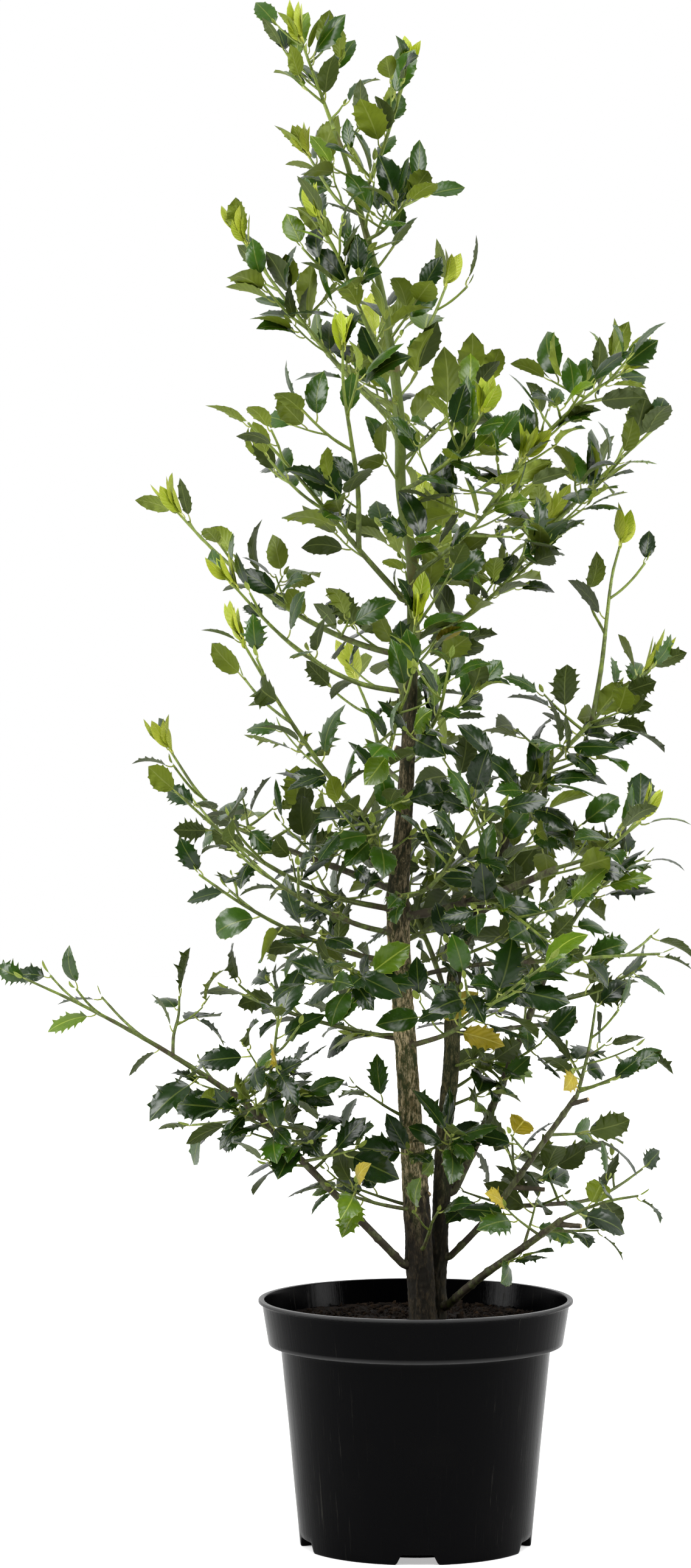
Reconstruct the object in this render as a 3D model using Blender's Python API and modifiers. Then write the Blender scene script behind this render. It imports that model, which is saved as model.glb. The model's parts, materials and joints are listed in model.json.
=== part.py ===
"""A young holly tree in a black nursery pot, in metres with +Z up.

The origin is the centre of the pot's flat underside, and -Y is the front. Two stems rise
from the compost. Boughs leave the stems, and every leafy shoot is one closed solid: a stem,
the twigs that branch from it by a seeded rule, and the leaves fused onto them.
"""

import math
import random
from collections import namedtuple

import bmesh
import bpy
import numpy as np
from mathutils import Matrix, Vector
from mathutils.bvhtree import BVHTree

GAP = 0.0003
SEAT_GAP = 0.0004
MERGE = 0.000001
UP = Vector((0.0, 0.0, 1.0))

# The pot: a tapered tub with a stepped rim band, a rolled lip and raised drain channels.
POT_HEIGHT = 0.250
LIP_RADIUS = 0.160
LIP_ROUND = 0.0010
LIP_DEPTH = 0.0030
LIP_UNDERSIDE = 0.0048
BAND_TOP_RADIUS = 0.1562
BAND_FOOT_RADIUS = 0.1495
BAND_FOOT_HEIGHT = 0.2045
BODY_TOP_RADIUS = 0.1372
BASE_RADIUS = 0.1178
WALL = 0.0022
FLOOR = 0.0026
STEP_SLOPE = 0.0018
STEP_ROUND = 0.0010
BASE_ROUND = 0.0020
FLOOR_ROUND = 0.0030
POT_SIDES = 40
CHANNELS = 5
CHANNEL_FOOT_WIDTH = 0.042
CHANNEL_TOP_WIDTH = 0.032
CHANNEL_HEIGHT = 0.010
CHANNEL_INNER_END = 0.078
DRAIN_RADIUS = 0.005
DRAIN_PLACE = 0.098
DRAIN_SIDES = 10
CUTTER_OVERRUN = 0.002
SOIL_HEIGHT = 0.225

# The stems, foot to tip: height, place across, place back, radius.
TRUNK_LINE = (
    (SOIL_HEIGHT + GAP, 0.007, 0.000, 0.0158),
    (0.236, 0.007, 0.000, 0.0142),
    (0.360, 0.000, 0.004, 0.0134),
    (0.430, -0.005, 0.005, 0.0116),
    (0.520, -0.011, 0.006, 0.0108),
    (0.640, -0.018, 0.000, 0.0112),
    (0.740, -0.012, -0.006, 0.0084),
    (0.850, -0.006, -0.008, 0.0068),
    (0.980, -0.003, -0.004, 0.0060),
    (1.070, -0.015, 0.004, 0.0055),
    (1.150, -0.017, 0.008, 0.0052),
    (1.260, -0.033, 0.010, 0.0040),
    (1.320, -0.048, 0.008, 0.0034),
    (1.400, -0.070, 0.004, 0.0027),
    (1.434, -0.083, 0.000, 0.0024),
)
RIGHT_STEM_LINE = (
    (SOIL_HEIGHT + GAP, 0.0225, 0.020, 0.0088),
    (0.245, 0.0225, 0.020, 0.0085),
    (0.333, 0.0255, 0.019, 0.0085),
    (0.410, 0.0290, 0.017, 0.0084),
    (0.490, 0.0365, 0.013, 0.0082),
    (0.580, 0.0400, 0.010, 0.0072),
    (0.642, 0.0620, 0.008, 0.0056),
    (0.703, 0.0870, 0.004, 0.0048),
    (0.743, 0.0995, 0.000, 0.0040),
)
STEM_SIDES = 12
BOUGH_SIDES = 6
TWIG_SIDES = 3
STEM_STEP = 0.045
BOUGH_STEP = 0.028
SHOOT_STEP = 0.048
WANDER = 0.022

# A limb leaves its carrier at a share of the carrier's length. Heading is its compass
# direction in degrees from +X towards +Y, reach its level distance, rise its climb, and bow
# how early it climbs: 0.5 is straight, less sweeps out first and then up.
Limb = namedtuple("Limb", "name carrier share heading reach rise bow radius tip_radius")
BOUGHS = (
    Limb("low_left_bough", "trunk", 0.050, -160, 0.165, 0.165, 0.50, 0.0042, 0.0031),
    Limb("low_right_bough", "right_stem", 0.125, -27, 0.140, 0.168, 0.40, 0.0036, 0.0028),
    Limb("foot_bough", "right_stem", 0.030, -40, 0.145, 0.098, 0.55, 0.0045, 0.0032),
    Limb("side_bough", "right_stem", 0.212, 14, 0.130, 0.004, 0.60, 0.0028, 0.0022),
    Limb("right_bough", "right_stem", 0.250, 8, 0.105, 0.245, 0.44, 0.0043, 0.0033),
    Limb("wide_bough", "trunk", 0.341, -23, 0.155, 0.050, 0.29, 0.0044, 0.0034),
    Limb("thin_bough", "trunk", 0.288, -36, 0.142, 0.021, 0.90, 0.0025, 0.0019),
    Limb("left_bough", "trunk", 0.362, 149, 0.150, 0.047, 0.50, 0.0036, 0.0026),
    Limb("dead_bough", "right_stem", 0.554, 41, 0.165, 0.004, 0.50, 0.0026, 0.0022),
)

# A shoot on a stem or bough starts a mass of its own. A shoot on another shoot is fused to
# it. Leaves start at a share of its length, and a lush tip ends in small upright leaves.
Shoot = namedtuple("Shoot", "name carrier share heading reach rise bow leafy lush")
SHOOTS = (
    Shoot("top_spray", "trunk", 1.000, 180, 0.032, 0.086, 0.50, 0.20, True),
    Shoot("top_right_spray", "trunk", 0.940, -39, 0.057, 0.118, 0.34, 0.25, True),
    Shoot("top_left_spray", "trunk", 0.928, 138, 0.068, 0.065, 0.18, 0.25, True),
    Shoot("top_front_spray", "trunk", 0.905, -62, 0.075, 0.030, 0.20, 0.25, False),
    Shoot("upper_left_spray", "trunk", 0.755, 164, 0.158, 0.185, 0.38, 0.30, True),
    Shoot("upper_front_spray", "trunk", 0.800, -138, 0.097, 0.142, 0.48, 0.25, True),
    Shoot("upper_side_spray", "trunk", 0.790, 40, 0.062, 0.095, 0.40, 0.25, True),
    Shoot("upper_back_spray", "trunk", 0.735, 100, 0.140, 0.125, 0.30, 0.25, True),
    Shoot("upper_right_spray", "trunk", 0.722, 42, 0.097, 0.078, 0.41, 0.25, True),
    Shoot("fore_right_spray", "trunk", 0.694, -58, 0.140, 0.070, 0.10, 0.25, True),
    Shoot("high_left_spray", "trunk", 0.602, -157, 0.170, 0.175, 0.51, 0.35, False),
    Shoot("high_left_riser", "high_left_spray", 0.300, -104, 0.066, 0.200, 0.61, 0.20, True),
    Shoot("high_right_spray", "trunk", 0.625, -40, 0.135, 0.110, 0.25, 0.35, True),
    Shoot("high_right_arm", "high_right_spray", 0.580, 4, 0.145, 0.145, 0.75, 0.15, True),
    Shoot("high_back_spray", "trunk", 0.590, 84, 0.175, 0.115, 0.25, 0.30, True),
    Shoot("wing_right_spray", "trunk", 0.574, 23, 0.142, 0.118, 0.06, 0.45, True),
    Shoot("wing_right_arm", "wing_right_spray", 0.780, 20, 0.140, 0.128, 0.56, 0.10, False),
    Shoot("wing_left_spray", "trunk", 0.556, 171, 0.235, 0.150, 0.14, 0.35, True),
    Shoot("mid_left_spray", "trunk", 0.526, -163, 0.178, 0.108, 0.04, 0.30, True),
    Shoot("mid_front_spray", "trunk", 0.472, -74, 0.135, 0.097, 0.09, 0.30, False),
    Shoot("mid_back_spray", "trunk", 0.450, 105, 0.190, 0.110, 0.20, 0.25, True),
    Shoot("fan_spray", "trunk", 0.376, -121, 0.067, 0.066, 0.50, 0.45, False),
    Shoot("fan_left_arm", "fan_spray", 0.930, -170, 0.122, 0.175, 0.38, 0.10, True),
    Shoot("fan_right_arm", "fan_spray", 0.900, -14, 0.056, 0.200, 0.17, 0.15, True),
    Shoot("front_right_spray", "trunk", 0.357, -63, 0.160, 0.095, 0.08, 0.25, False),
    Shoot("left_spray", "left_bough", 1.000, 165, 0.098, 0.092, 0.12, 0.05, True),
    Shoot("left_low_spray", "trunk", 0.346, -169, 0.214, 0.119, 0.12, 0.35, False),
    Shoot("front_left_spray", "trunk", 0.327, -139, 0.205, 0.097, 0.16, 0.30, False),
    Shoot("back_spray", "trunk", 0.318, 58, 0.190, 0.080, 0.25, 0.30, False),
    Shoot("left_mid_spray", "trunk", 0.303, -152, 0.212, 0.092, 0.20, 0.35, False),
    Shoot("front_spray", "trunk", 0.276, -122, 0.150, 0.022, 0.66, 0.35, False),
    Shoot("back_left_spray", "trunk", 0.282, 133, 0.159, 0.040, 0.32, 0.30, False),
    Shoot("low_left_spray", "trunk", 0.238, 162, 0.175, 0.046, 0.23, 0.40, False),
    Shoot("low_front_spray", "trunk", 0.232, -56, 0.195, 0.080, 0.25, 0.30, False),
    Shoot("fork_spray", "right_stem", 0.621, 124, 0.165, 0.170, 0.75, 0.50, False),
    Shoot("crest_spray", "right_stem", 1.000, 8, 0.140, 0.145, 0.61, 0.05, True),
    Shoot("crest_riser", "crest_spray", 0.600, 56, 0.058, 0.185, 0.65, 0.15, True),
    Shoot("far_right_spray", "right_stem", 0.921, 52, 0.147, 0.010, 0.57, 0.30, False),
    Shoot("wide_spray", "wide_bough", 1.000, -7, 0.082, 0.046, 0.18, 0.05, True),
    Shoot("wide_low_spray", "wide_bough", 0.532, -57, 0.100, -0.035, 0.30, 0.30, False),
    Shoot("right_spray", "right_bough", 1.000, -3, 0.090, 0.092, 0.85, 0.05, False),
    Shoot("right_back_spray", "right_bough", 0.860, 105, 0.095, 0.090, 0.54, 0.25, False),
    Shoot("right_low_spray", "right_bough", 0.774, 47, 0.150, 0.028, 0.26, 0.30, False),
    Shoot("thin_spray", "thin_bough", 1.000, 0, 0.128, 0.008, 0.62, 0.05, False),
    Shoot("low_right_spray", "low_right_bough", 1.000, 65, 0.050, 0.088, 0.27, 0.10, False),
    Shoot("low_right_arm", "low_right_spray", 0.060, -8, 0.048, 0.020, 0.42, 0.30, False),
    Shoot("side_spray", "side_bough", 1.000, 32, 0.084, 0.030, 0.10, 0.05, False),
    Shoot("side_back_spray", "side_bough", 0.542, 91, 0.067, 0.054, 0.46, 0.25, False),
    Shoot("foot_spray", "foot_bough", 1.000, -19, 0.078, 0.026, 0.80, 0.10, False),
    Shoot("sweep_spray", "low_left_bough", 1.000, -171, 0.222, 0.128, 0.62, 0.15, False),
    Shoot("sweep_riser", "sweep_spray", 0.356, 84, 0.047, 0.056, 0.53, 0.20, False),
    Shoot("sweep_front_spray", "low_left_bough", 0.930, -77, 0.066, 0.104, 0.47, 0.20, False),
    Shoot("sweep_back_spray", "low_left_bough", 0.940, 150, 0.074, -0.010, 0.60, 0.10, False),
    Shoot("foot_front_spray", "trunk", 0.062, -79, 0.072, 0.046, 0.60, 0.60, False),
    Shoot("foot_left_spray", "trunk", 0.096, -135, 0.105, 0.030, 0.29, 0.40, False),
)

SHOOT_FOOT_RADIUS = 0.0015
SHOOT_SWELL = 0.0070
SHOOT_TIP_RADIUS = 0.0012
TWIG_FROM_LENGTH = 0.090
TWIG_EVERY = 0.085
TWIG_FIRST = 0.38
TWIG_LAST = 0.84
TWIG_ANGLE = (38, 56)
TWIG_CLIMB = (0.21, 0.49)
TWIG_FOLLOW = 0.60
TWIG_LENGTH = 0.028
TWIG_REACH = (0.31, 0.48)
TWIG_BOW = 0.30
TWIG_SLIMNESS = 0.80
TWIG_LEAFY = 0.30

# Leaves: a kite of eight faces, folded a little along its midrib. The first leaf of a twig
# is its tip leaf, which is shorter and follows the twig more closely.
GOLDEN_ANGLE = math.radians(137.5)
LEAF_TURN = 0.35
LEAF_LAST = 0.98
TIP_LEAF_LIFT = 0.60
TIP_LEAF_LENGTH = 0.86
LEAF_SPACING = 0.0255
LEAF_LENGTH = (0.054, 0.070)
LEAF_WIDTH = 0.60
LEAF_THICKNESS = 0.0017
LEAF_FOLD = 0.10
LEAF_LIFT = (46, 66)
LEAF_LIGHT = 0.30
LEAF_DROOP = 0.40
LEAF_FACING = (0.30, 0.70, 0.65)
LEAF_ROLL = 0.60
LEAF_CLEARANCE = 0.0006
LEAF_ROOT = 0.22
LEAF_LOWEST = POT_HEIGHT + 0.004
LUSH_LEAVES = 3
LUSH_FIRST = 0.985
LUSH_STEP = 0.020
LUSH_LENGTH = (0.022, 0.036)
LUSH_LIFT = (10, 32)

Twig = namedtuple("Twig", "name parent mass path radii")
Leaf = namedtuple("Leaf", "twig mass rank foot ahead face length")


def clear_scene():
    """Remove what the scene holds, and make the two collections."""
    for old in list(bpy.data.objects):
        bpy.data.objects.remove(old, do_unlink=True)
    made = []
    for name in ("holly_tree", "cutters"):
        collection = bpy.data.collections.new(name)
        bpy.context.scene.collection.children.link(collection)
        made.append(collection)
    return made


def material(name, colour, roughness):
    """A Principled BSDF of one colour."""
    made = bpy.data.materials.new(name)
    made.use_nodes = True
    made.diffuse_color = (*colour, 1.0)
    shader = made.node_tree.nodes["Principled BSDF"]
    shader.inputs["Base Color"].default_value = (*colour, 1.0)
    shader.inputs["Roughness"].default_value = roughness
    shader.inputs["Metallic"].default_value = 0.0
    return made


def add_object(name, mesh, collection, finish=None):
    """Link a mesh as a named object."""
    made = bpy.data.objects.new(name, mesh)
    collection.objects.link(made)
    if finish:
        mesh.materials.append(finish)
    return made


def hide_cutter(cutter):
    """Mark an object as a construction aid."""
    cutter.hide_render = True
    cutter.display_type = "WIRE"


def through_points(points, step):
    """A smooth path through named points, about a step apart, as a list of number rows."""
    rows = [np.array(point) for point in points]
    rows = [2 * rows[0] - rows[1]] + rows + [2 * rows[-1] - rows[-2]]
    path = []
    for i in range(1, len(rows) - 2):
        a, b, c, d = rows[i - 1:i + 3]
        pieces = max(1, round(abs(c[0] - b[0]) / step))
        for k in range(pieces):
            t = k / pieces
            path.append(0.5 * (2 * b + (c - a) * t + (2 * a - 5 * b + 4 * c - d) * t ** 2
                               + (3 * b - a - 3 * c + d) * t ** 3))
    path.append(rows[-2])
    return path


def stem_path(line, step):
    """Centre points and radii of a stem, with its first stretch upright for a level cut."""
    rows = through_points(line, step)
    path = [Vector((row[1], row[2], row[0])) for row in rows]
    path[1].xy = path[0].xy
    return path, [float(row[3]) for row in rows]


def length_of(path):
    """The length of a path."""
    return sum((b - a).length for a, b in zip(path, path[1:]))


def along(path, values, share):
    """The point, direction and interpolated value at a share of a path's length."""
    left = share * length_of(path)
    for i, (a, b) in enumerate(zip(path, path[1:])):
        stretch = (b - a).length
        if left <= stretch or i == len(path) - 2:
            t = min(left / stretch, 1.0)
            value = values[i] * (1 - t) + values[i + 1] * t
            return a.lerp(b, t), (b - a).normalized(), value
        left -= stretch


def sweep(foot, heading, reach, rise, bow, step, rng):
    """A limb's centre line: a quadratic curve out and up, wandering a little sideways."""
    out = Vector((math.cos(math.radians(heading)), math.sin(math.radians(heading)), 0.0))
    side = UP.cross(out)
    bend = out * (reach * 0.5) + UP * (rise * bow)
    end = out * reach + UP * rise
    swing = rng.uniform(-1.0, 1.0) * WANDER * end.length
    count = max(3, round(end.length / step))
    path = []
    for i in range(count + 1):
        t = i / count
        curve = bend * (2 * t * (1 - t)) + end * (t * t)
        path.append(foot + curve + side * (swing * math.sin(2 * math.pi * t)))
    return path


def limb_path(carrier, share, shape, radius, step, rng, fused):
    """A limb's path from its carrier: sunk in it when fused, else just clear of its side."""
    point, ahead, carrier_radius = along(carrier[0], carrier[1], share)
    if fused:
        return sweep(point, *shape, step, rng)
    if share >= 1.0:
        start = point + ahead * GAP
        elbow = start + ahead * radius
    else:
        heading = math.radians(shape[0])
        out = Vector((math.cos(heading), math.sin(heading), shape[2] / shape[1]))
        out = (out - ahead * out.dot(ahead)).normalized()
        start = point + out * (carrier_radius + SEAT_GAP)
        elbow = start + out * radius
    return [start] + sweep(elbow, *shape, step, rng)


def taper(path, foot_radius, tip_radius):
    """Radii that narrow evenly along a path."""
    total = length_of(path)
    done = 0.0
    radii = [foot_radius]
    for a, b in zip(path, path[1:]):
        done += (b - a).length
        radii.append(foot_radius + (tip_radius - foot_radius) * done / total)
    return radii


def section(sides, collection):
    """A regular polygon of radius one, as the cross-section of a limb."""
    curve = bpy.data.curves.new(f"section_{sides}", "CURVE")
    spline = curve.splines.new("POLY")
    spline.points.add(sides - 1)
    for i in range(sides):
        turn = 2 * math.pi * (i + 0.5) / sides
        spline.points[i].co = (math.cos(turn), math.sin(turn), 0.0, 1.0)
    spline.use_cyclic_u = True
    made = bpy.data.objects.new(curve.name, curve)
    collection.objects.link(made)
    hide_cutter(made)
    return made


def tube_mesh(name, path, radii, profile, collection):
    """The closed mesh of a curve with a section that follows the radii."""
    curve = bpy.data.curves.new(name, "CURVE")
    curve.dimensions = "3D"
    curve.bevel_mode = "OBJECT"
    curve.bevel_object = profile
    curve.use_fill_caps = True
    spline = curve.splines.new("POLY")
    spline.points.add(len(path) - 1)
    for point, place, radius in zip(spline.points, path, radii):
        point.co = (*place, 1.0)
        point.radius = radius
    helper = bpy.data.objects.new(name, curve)
    collection.objects.link(helper)
    bpy.context.view_layer.update()
    evaluated = helper.evaluated_get(bpy.context.evaluated_depsgraph_get())
    mesh = bpy.data.meshes.new_from_object(evaluated)
    bpy.data.objects.remove(helper, do_unlink=True)
    weld(mesh)
    return mesh


def weld(mesh):
    """Merge loose caps, and turn the faces outwards."""
    bm = bmesh.new()
    bm.from_mesh(mesh)
    bmesh.ops.remove_doubles(bm, verts=bm.verts, dist=MERGE)
    bmesh.ops.recalc_face_normals(bm, faces=bm.faces)
    bm.to_mesh(mesh)
    bm.free()


def leaf_mesh(leaf, swell=0.0, root=0.0):
    """A folded kite from a sphere of four sides and two rings, laid along its midrib.

    Swell makes it thicker all round, and root leaves out a share of its length at the foot.
    """
    bm = bmesh.new()
    bmesh.ops.create_uvsphere(bm, u_segments=4, v_segments=2, radius=1.0)
    across = leaf.ahead.cross(leaf.face).normalized()
    half = leaf.length * (1.0 - root) / 2
    size = Matrix.Diagonal((half * LEAF_WIDTH + swell, LEAF_THICKNESS / 2 + swell, half + swell, 1.0))
    turn = Matrix((across, leaf.face, leaf.ahead)).transposed().to_4x4()
    bmesh.ops.transform(bm, matrix=size, verts=bm.verts)
    for vert in bm.verts:
        vert.co.y += abs(vert.co.x) * LEAF_FOLD * 2
        vert.co.z += half + leaf.length * root
    bmesh.ops.transform(bm, matrix=Matrix.Translation(leaf.foot) @ turn, verts=bm.verts)
    bmesh.ops.recalc_face_normals(bm, faces=bm.faces)
    mesh = bpy.data.meshes.new("leaf")
    bm.to_mesh(mesh)
    bm.free()
    return mesh


def frame_leaf(twig, mass, rank, foot, ahead, turn, lift, length, roll):
    """One leaf: lifted off its twig, leaning to the light, its face up and out from the stem."""
    side = ahead.orthogonal().normalized()
    side.rotate(Matrix.Rotation(turn, 3, ahead))
    way = ahead * math.cos(lift) + side * math.sin(lift) + UP * LEAF_LIGHT
    if way.z < 0.0:
        way.z *= LEAF_DROOP
    way.normalize()
    out = Vector((foot.x, foot.y, 0.0)).normalized()
    along_twig, skyward, outward = LEAF_FACING
    face = ahead * along_twig + UP * skyward + out * outward
    face = (face - way * face.dot(way)).normalized()
    face.rotate(Matrix.Rotation(roll, 3, way))
    return Leaf(twig, mass, rank, foot, way, face, length)


def leaves_on(twig, leafy, lush, rng):
    """The leaves up one twig, in a spiral by the golden angle, counted from the tip."""
    total = length_of(twig.path)
    count = max(1, round(total * (1.0 - leafy) / LEAF_SPACING))
    turn = rng.uniform(0.0, 2 * math.pi)
    leaves = []
    for rank in range(count):
        share = LEAF_LAST - (1.0 - leafy) * rank / count
        foot, ahead, _ = along(twig.path, twig.radii, share)
        turn += GOLDEN_ANGLE + rng.uniform(-LEAF_TURN, LEAF_TURN)
        lift = math.radians(rng.uniform(*LEAF_LIFT))
        length = rng.uniform(*LEAF_LENGTH)
        if rank == 0:
            lift *= TIP_LEAF_LIFT
            length *= TIP_LEAF_LENGTH
        roll = rng.uniform(-LEAF_ROLL, LEAF_ROLL)
        leaves.append(frame_leaf(twig.name, twig.mass, rank, foot, ahead, turn, lift, length, roll))
    for i in range(LUSH_LEAVES if lush else 0):
        foot, ahead, _ = along(twig.path, twig.radii, LUSH_FIRST - LUSH_STEP * i)
        turn += GOLDEN_ANGLE
        lift = math.radians(rng.uniform(*LUSH_LIFT))
        length = rng.uniform(*LUSH_LENGTH)
        leaves.append(frame_leaf(twig.name, twig.mass, i, foot, ahead, turn, lift, length, 0.0))
    return leaves


def side_twigs(stem, rng):
    """Seeded twigs: on alternate sides of a shoot, shorter towards its tip."""
    total = length_of(stem.path)
    count = int(total / TWIG_EVERY) if total > TWIG_FROM_LENGTH else 0
    side = rng.choice((-1, 1))
    twigs = []
    for i in range(count):
        share = TWIG_FIRST + (TWIG_LAST - TWIG_FIRST) * (i + rng.uniform(0.2, 0.8)) / count
        foot, ahead, radius = along(stem.path, stem.radii, share)
        heading = math.degrees(math.atan2(ahead.y, ahead.x)) + side * rng.uniform(*TWIG_ANGLE)
        length = TWIG_LENGTH + (1.0 - share) * total * rng.uniform(*TWIG_REACH)
        climb = max(ahead.z, 0.0) * TWIG_FOLLOW + rng.uniform(*TWIG_CLIMB)
        reach = length / math.sqrt(1.0 + climb ** 2)
        line = sweep(foot, heading, reach, reach * climb, TWIG_BOW, SHOOT_STEP, rng)
        radii = taper(line, radius * TWIG_SLIMNESS, SHOOT_TIP_RADIUS)
        twigs.append(Twig(f"{stem.name}_{i + 1}", stem.name, stem.mass, line, radii))
        side = -side
    return twigs


def grow():
    """Every limb, twig and leaf as paths and frames, before any solid is made."""
    paths = {
        "trunk": stem_path(TRUNK_LINE, STEM_STEP),
        "right_stem": stem_path(RIGHT_STEM_LINE, STEM_STEP),
    }
    for bough in BOUGHS:
        rng = random.Random(bough.name)
        path = limb_path(paths[bough.carrier], bough.share, bough[3:7], bough.radius,
                         BOUGH_STEP, rng, False)
        paths[bough.name] = (path, taper(path, bough.radius, bough.tip_radius))
    limbs = list(paths)
    twigs, leaves, mass_of = [], [], {}
    for shoot in SHOOTS:
        rng = random.Random(shoot.name)
        fused = shoot.carrier in mass_of
        mass = mass_of.get(shoot.carrier, shoot.name)
        mass_of[shoot.name] = mass
        radius = SHOOT_FOOT_RADIUS + SHOOT_SWELL * math.hypot(shoot.reach, shoot.rise)
        path = limb_path(paths[shoot.carrier], shoot.share, shoot[3:7], radius,
                         SHOOT_STEP, rng, fused)
        radii = taper(path, radius, SHOOT_TIP_RADIUS)
        paths[shoot.name] = (path, radii)
        stem = Twig(shoot.name, shoot.carrier, mass, path, radii)
        twigs.append(stem)
        leaves += leaves_on(stem, shoot.leafy, shoot.lush, rng)
        for twig in side_twigs(stem, rng):
            twigs.append(twig)
            leaves += leaves_on(twig, TWIG_LEAFY, False, rng)
    return {name: paths[name] for name in limbs}, twigs, leaves


def tree_of(mesh):
    """A search tree of a mesh's faces."""
    places = [vert.co.copy() for vert in mesh.vertices]
    return BVHTree.FromPolygons(places, [tuple(face.vertices) for face in mesh.polygons])


class Room:
    """What already stands in the crown, so that each piece keeps to its own space."""

    def __init__(self):
        self.owners = []
        self.lows = []
        self.highs = []
        self.trees = []

    def add(self, owner, mesh):
        """Take a mesh in as something that others keep clear of."""
        places = [vert.co.copy() for vert in mesh.vertices]
        self.owners.append(owner)
        self.lows.append(np.min(places, axis=0))
        self.highs.append(np.max(places, axis=0))
        self.trees.append(tree_of(mesh))

    def is_free(self, owner, mesh, outer=None):
        """Whether a mesh is clear of what isn't its owner's, and its outer part of the rest."""
        places = [vert.co.copy() for vert in mesh.vertices]
        low, high = np.min(places, axis=0), np.max(places, axis=0)
        near = np.all((np.array(self.lows) <= high) & (np.array(self.highs) >= low), axis=1)
        whole = tree_of(mesh)
        part = tree_of(outer) if outer else None
        for i in np.flatnonzero(near):
            tree = part if self.owners[i] == owner else whole
            if tree and tree.overlap(self.trees[i]):
                return False
        return True


def largest_piece(mesh):
    """Keep a mesh's largest connected piece: loose scraps and sealed hollows are dropped."""
    bm = bmesh.new()
    bm.from_mesh(mesh)
    bmesh.ops.triangulate(bm, faces=bm.faces)
    bmesh.ops.dissolve_degenerate(bm, dist=2 * MERGE, edges=bm.edges)
    bmesh.ops.remove_doubles(bm, verts=bm.verts, dist=MERGE)
    unseen = set(bm.faces)
    best = set()
    while unseen:
        group = {unseen.pop()}
        waiting = list(group)
        while waiting:
            face = waiting.pop()
            for edge in face.edges:
                for other in edge.link_faces:
                    if other in unseen:
                        unseen.remove(other)
                        group.add(other)
                        waiting.append(other)
        if len(group) > len(best):
            best = group
    bmesh.ops.delete(bm, geom=[face for face in bm.faces if face not in best], context="FACES")
    bmesh.ops.recalc_face_normals(bm, faces=bm.faces)
    closed = all(len(edge.link_faces) == 2 for edge in bm.edges)
    bm.to_mesh(mesh)
    bm.free()
    return closed


def fuse(name, meshes, finish, collection, solver):
    """One Boolean union of a mass's stem with a collection of its twigs and leaves."""
    stem = add_object(name, meshes[0], collection)
    others = bpy.data.collections.new("mass_pieces")
    bpy.context.scene.collection.children.link(others)
    for mesh in meshes[1:]:
        add_object("piece", mesh, others)
    union = stem.modifiers.new("union", "BOOLEAN")
    union.operation = "UNION"
    union.operand_type = "COLLECTION"
    union.collection = others
    union.solver = solver
    bpy.context.view_layer.update()
    evaluated = stem.evaluated_get(bpy.context.evaluated_depsgraph_get())
    mesh = bpy.data.meshes.new_from_object(evaluated)
    for piece in list(others.objects):
        bpy.data.objects.remove(piece, do_unlink=True)
    bpy.data.collections.remove(others)
    bpy.data.objects.remove(stem, do_unlink=True)
    closed = largest_piece(mesh)
    if closed:
        mesh.name = name
        add_object(name, mesh, collection, finish)
    return closed


def build_plant(collection, cutters, finishes):
    """The stems, the boughs and the masses of foliage."""
    stems = section(STEM_SIDES, cutters)
    boughs = section(BOUGH_SIDES, cutters)
    thin = section(TWIG_SIDES, cutters)
    limbs, twigs, leaves = grow()
    room = Room()
    for name, (path, radii) in limbs.items():
        profile = stems if name in ("trunk", "right_stem") else boughs
        mesh = tube_mesh(name, path, radii, profile, collection)
        add_object(name, mesh, collection, finishes[name])
        room.add(name, mesh)
    masses = {}
    grown = set(limbs)
    for twig in twigs:
        mesh = tube_mesh("twig", twig.path, twig.radii, thin, collection)
        is_stem = twig.parent in limbs
        if is_stem or (twig.parent in grown and room.is_free(twig.mass, mesh)):
            grown.add(twig.name)
            masses.setdefault(twig.mass, []).append(mesh)
            room.add(twig.mass, mesh)
    for leaf in sorted(leaves, key=lambda leaf: leaf.rank):
        if leaf.twig not in grown:
            continue
        mesh = leaf_mesh(leaf)
        low = min(vert.co.z for vert in mesh.vertices)
        whole = leaf_mesh(leaf, LEAF_CLEARANCE)
        outer = leaf_mesh(leaf, LEAF_CLEARANCE, LEAF_ROOT)
        if low > LEAF_LOWEST and room.is_free(leaf.mass, whole, outer):
            masses[leaf.mass].append(mesh)
            room.add(leaf.mass, mesh)
    for name, meshes in masses.items():
        while not any(fuse(name, meshes, finishes["foliage"], collection, solver)
                      for solver in ("EXACT", "MANIFOLD")):
            meshes.pop()


def turned(name, profile, collection):
    """A profile of radius and height, top to bottom down its outside, turned about the axis."""
    mesh = bpy.data.meshes.new(name)
    edges = [(i, i + 1) for i in range(len(profile) - 1)]
    mesh.from_pydata([(radius, 0.0, height) for radius, height in profile], edges, [])
    made = add_object(name, mesh, collection)
    screw = made.modifiers.new("turn", "SCREW")
    screw.steps = POT_SIDES
    screw.render_steps = POT_SIDES
    screw.use_merge_vertices = True
    screw.merge_threshold = 0.00001
    screw.use_normal_calculate = True
    return made


def channel_block(name, heading, margin, collection):
    """A radial block with leaning sides, from inside the base to past the wall."""
    bm = bmesh.new()
    bmesh.ops.create_cube(bm, size=1.0)
    inner = CHANNEL_INNER_END - margin
    for vert in bm.verts:
        width = CHANNEL_TOP_WIDTH if vert.co.z > 0 else CHANNEL_FOOT_WIDTH
        vert.co.y *= width + 2 * margin
        vert.co.x = inner if vert.co.x < 0 else LIP_RADIUS
        vert.co.z = CHANNEL_HEIGHT + margin if vert.co.z > 0 else -CUTTER_OVERRUN
    bmesh.ops.rotate(bm, matrix=Matrix.Rotation(heading, 3, "Z"), verts=bm.verts)
    mesh = bpy.data.meshes.new(name)
    bm.to_mesh(mesh)
    bm.free()
    hide_cutter(add_object(name, mesh, collection))


def channel_headings():
    """The headings of the drain channels, one of them at the front."""
    return [-math.pi / 2 + 2 * math.pi * i / CHANNELS for i in range(CHANNELS)]


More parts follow.
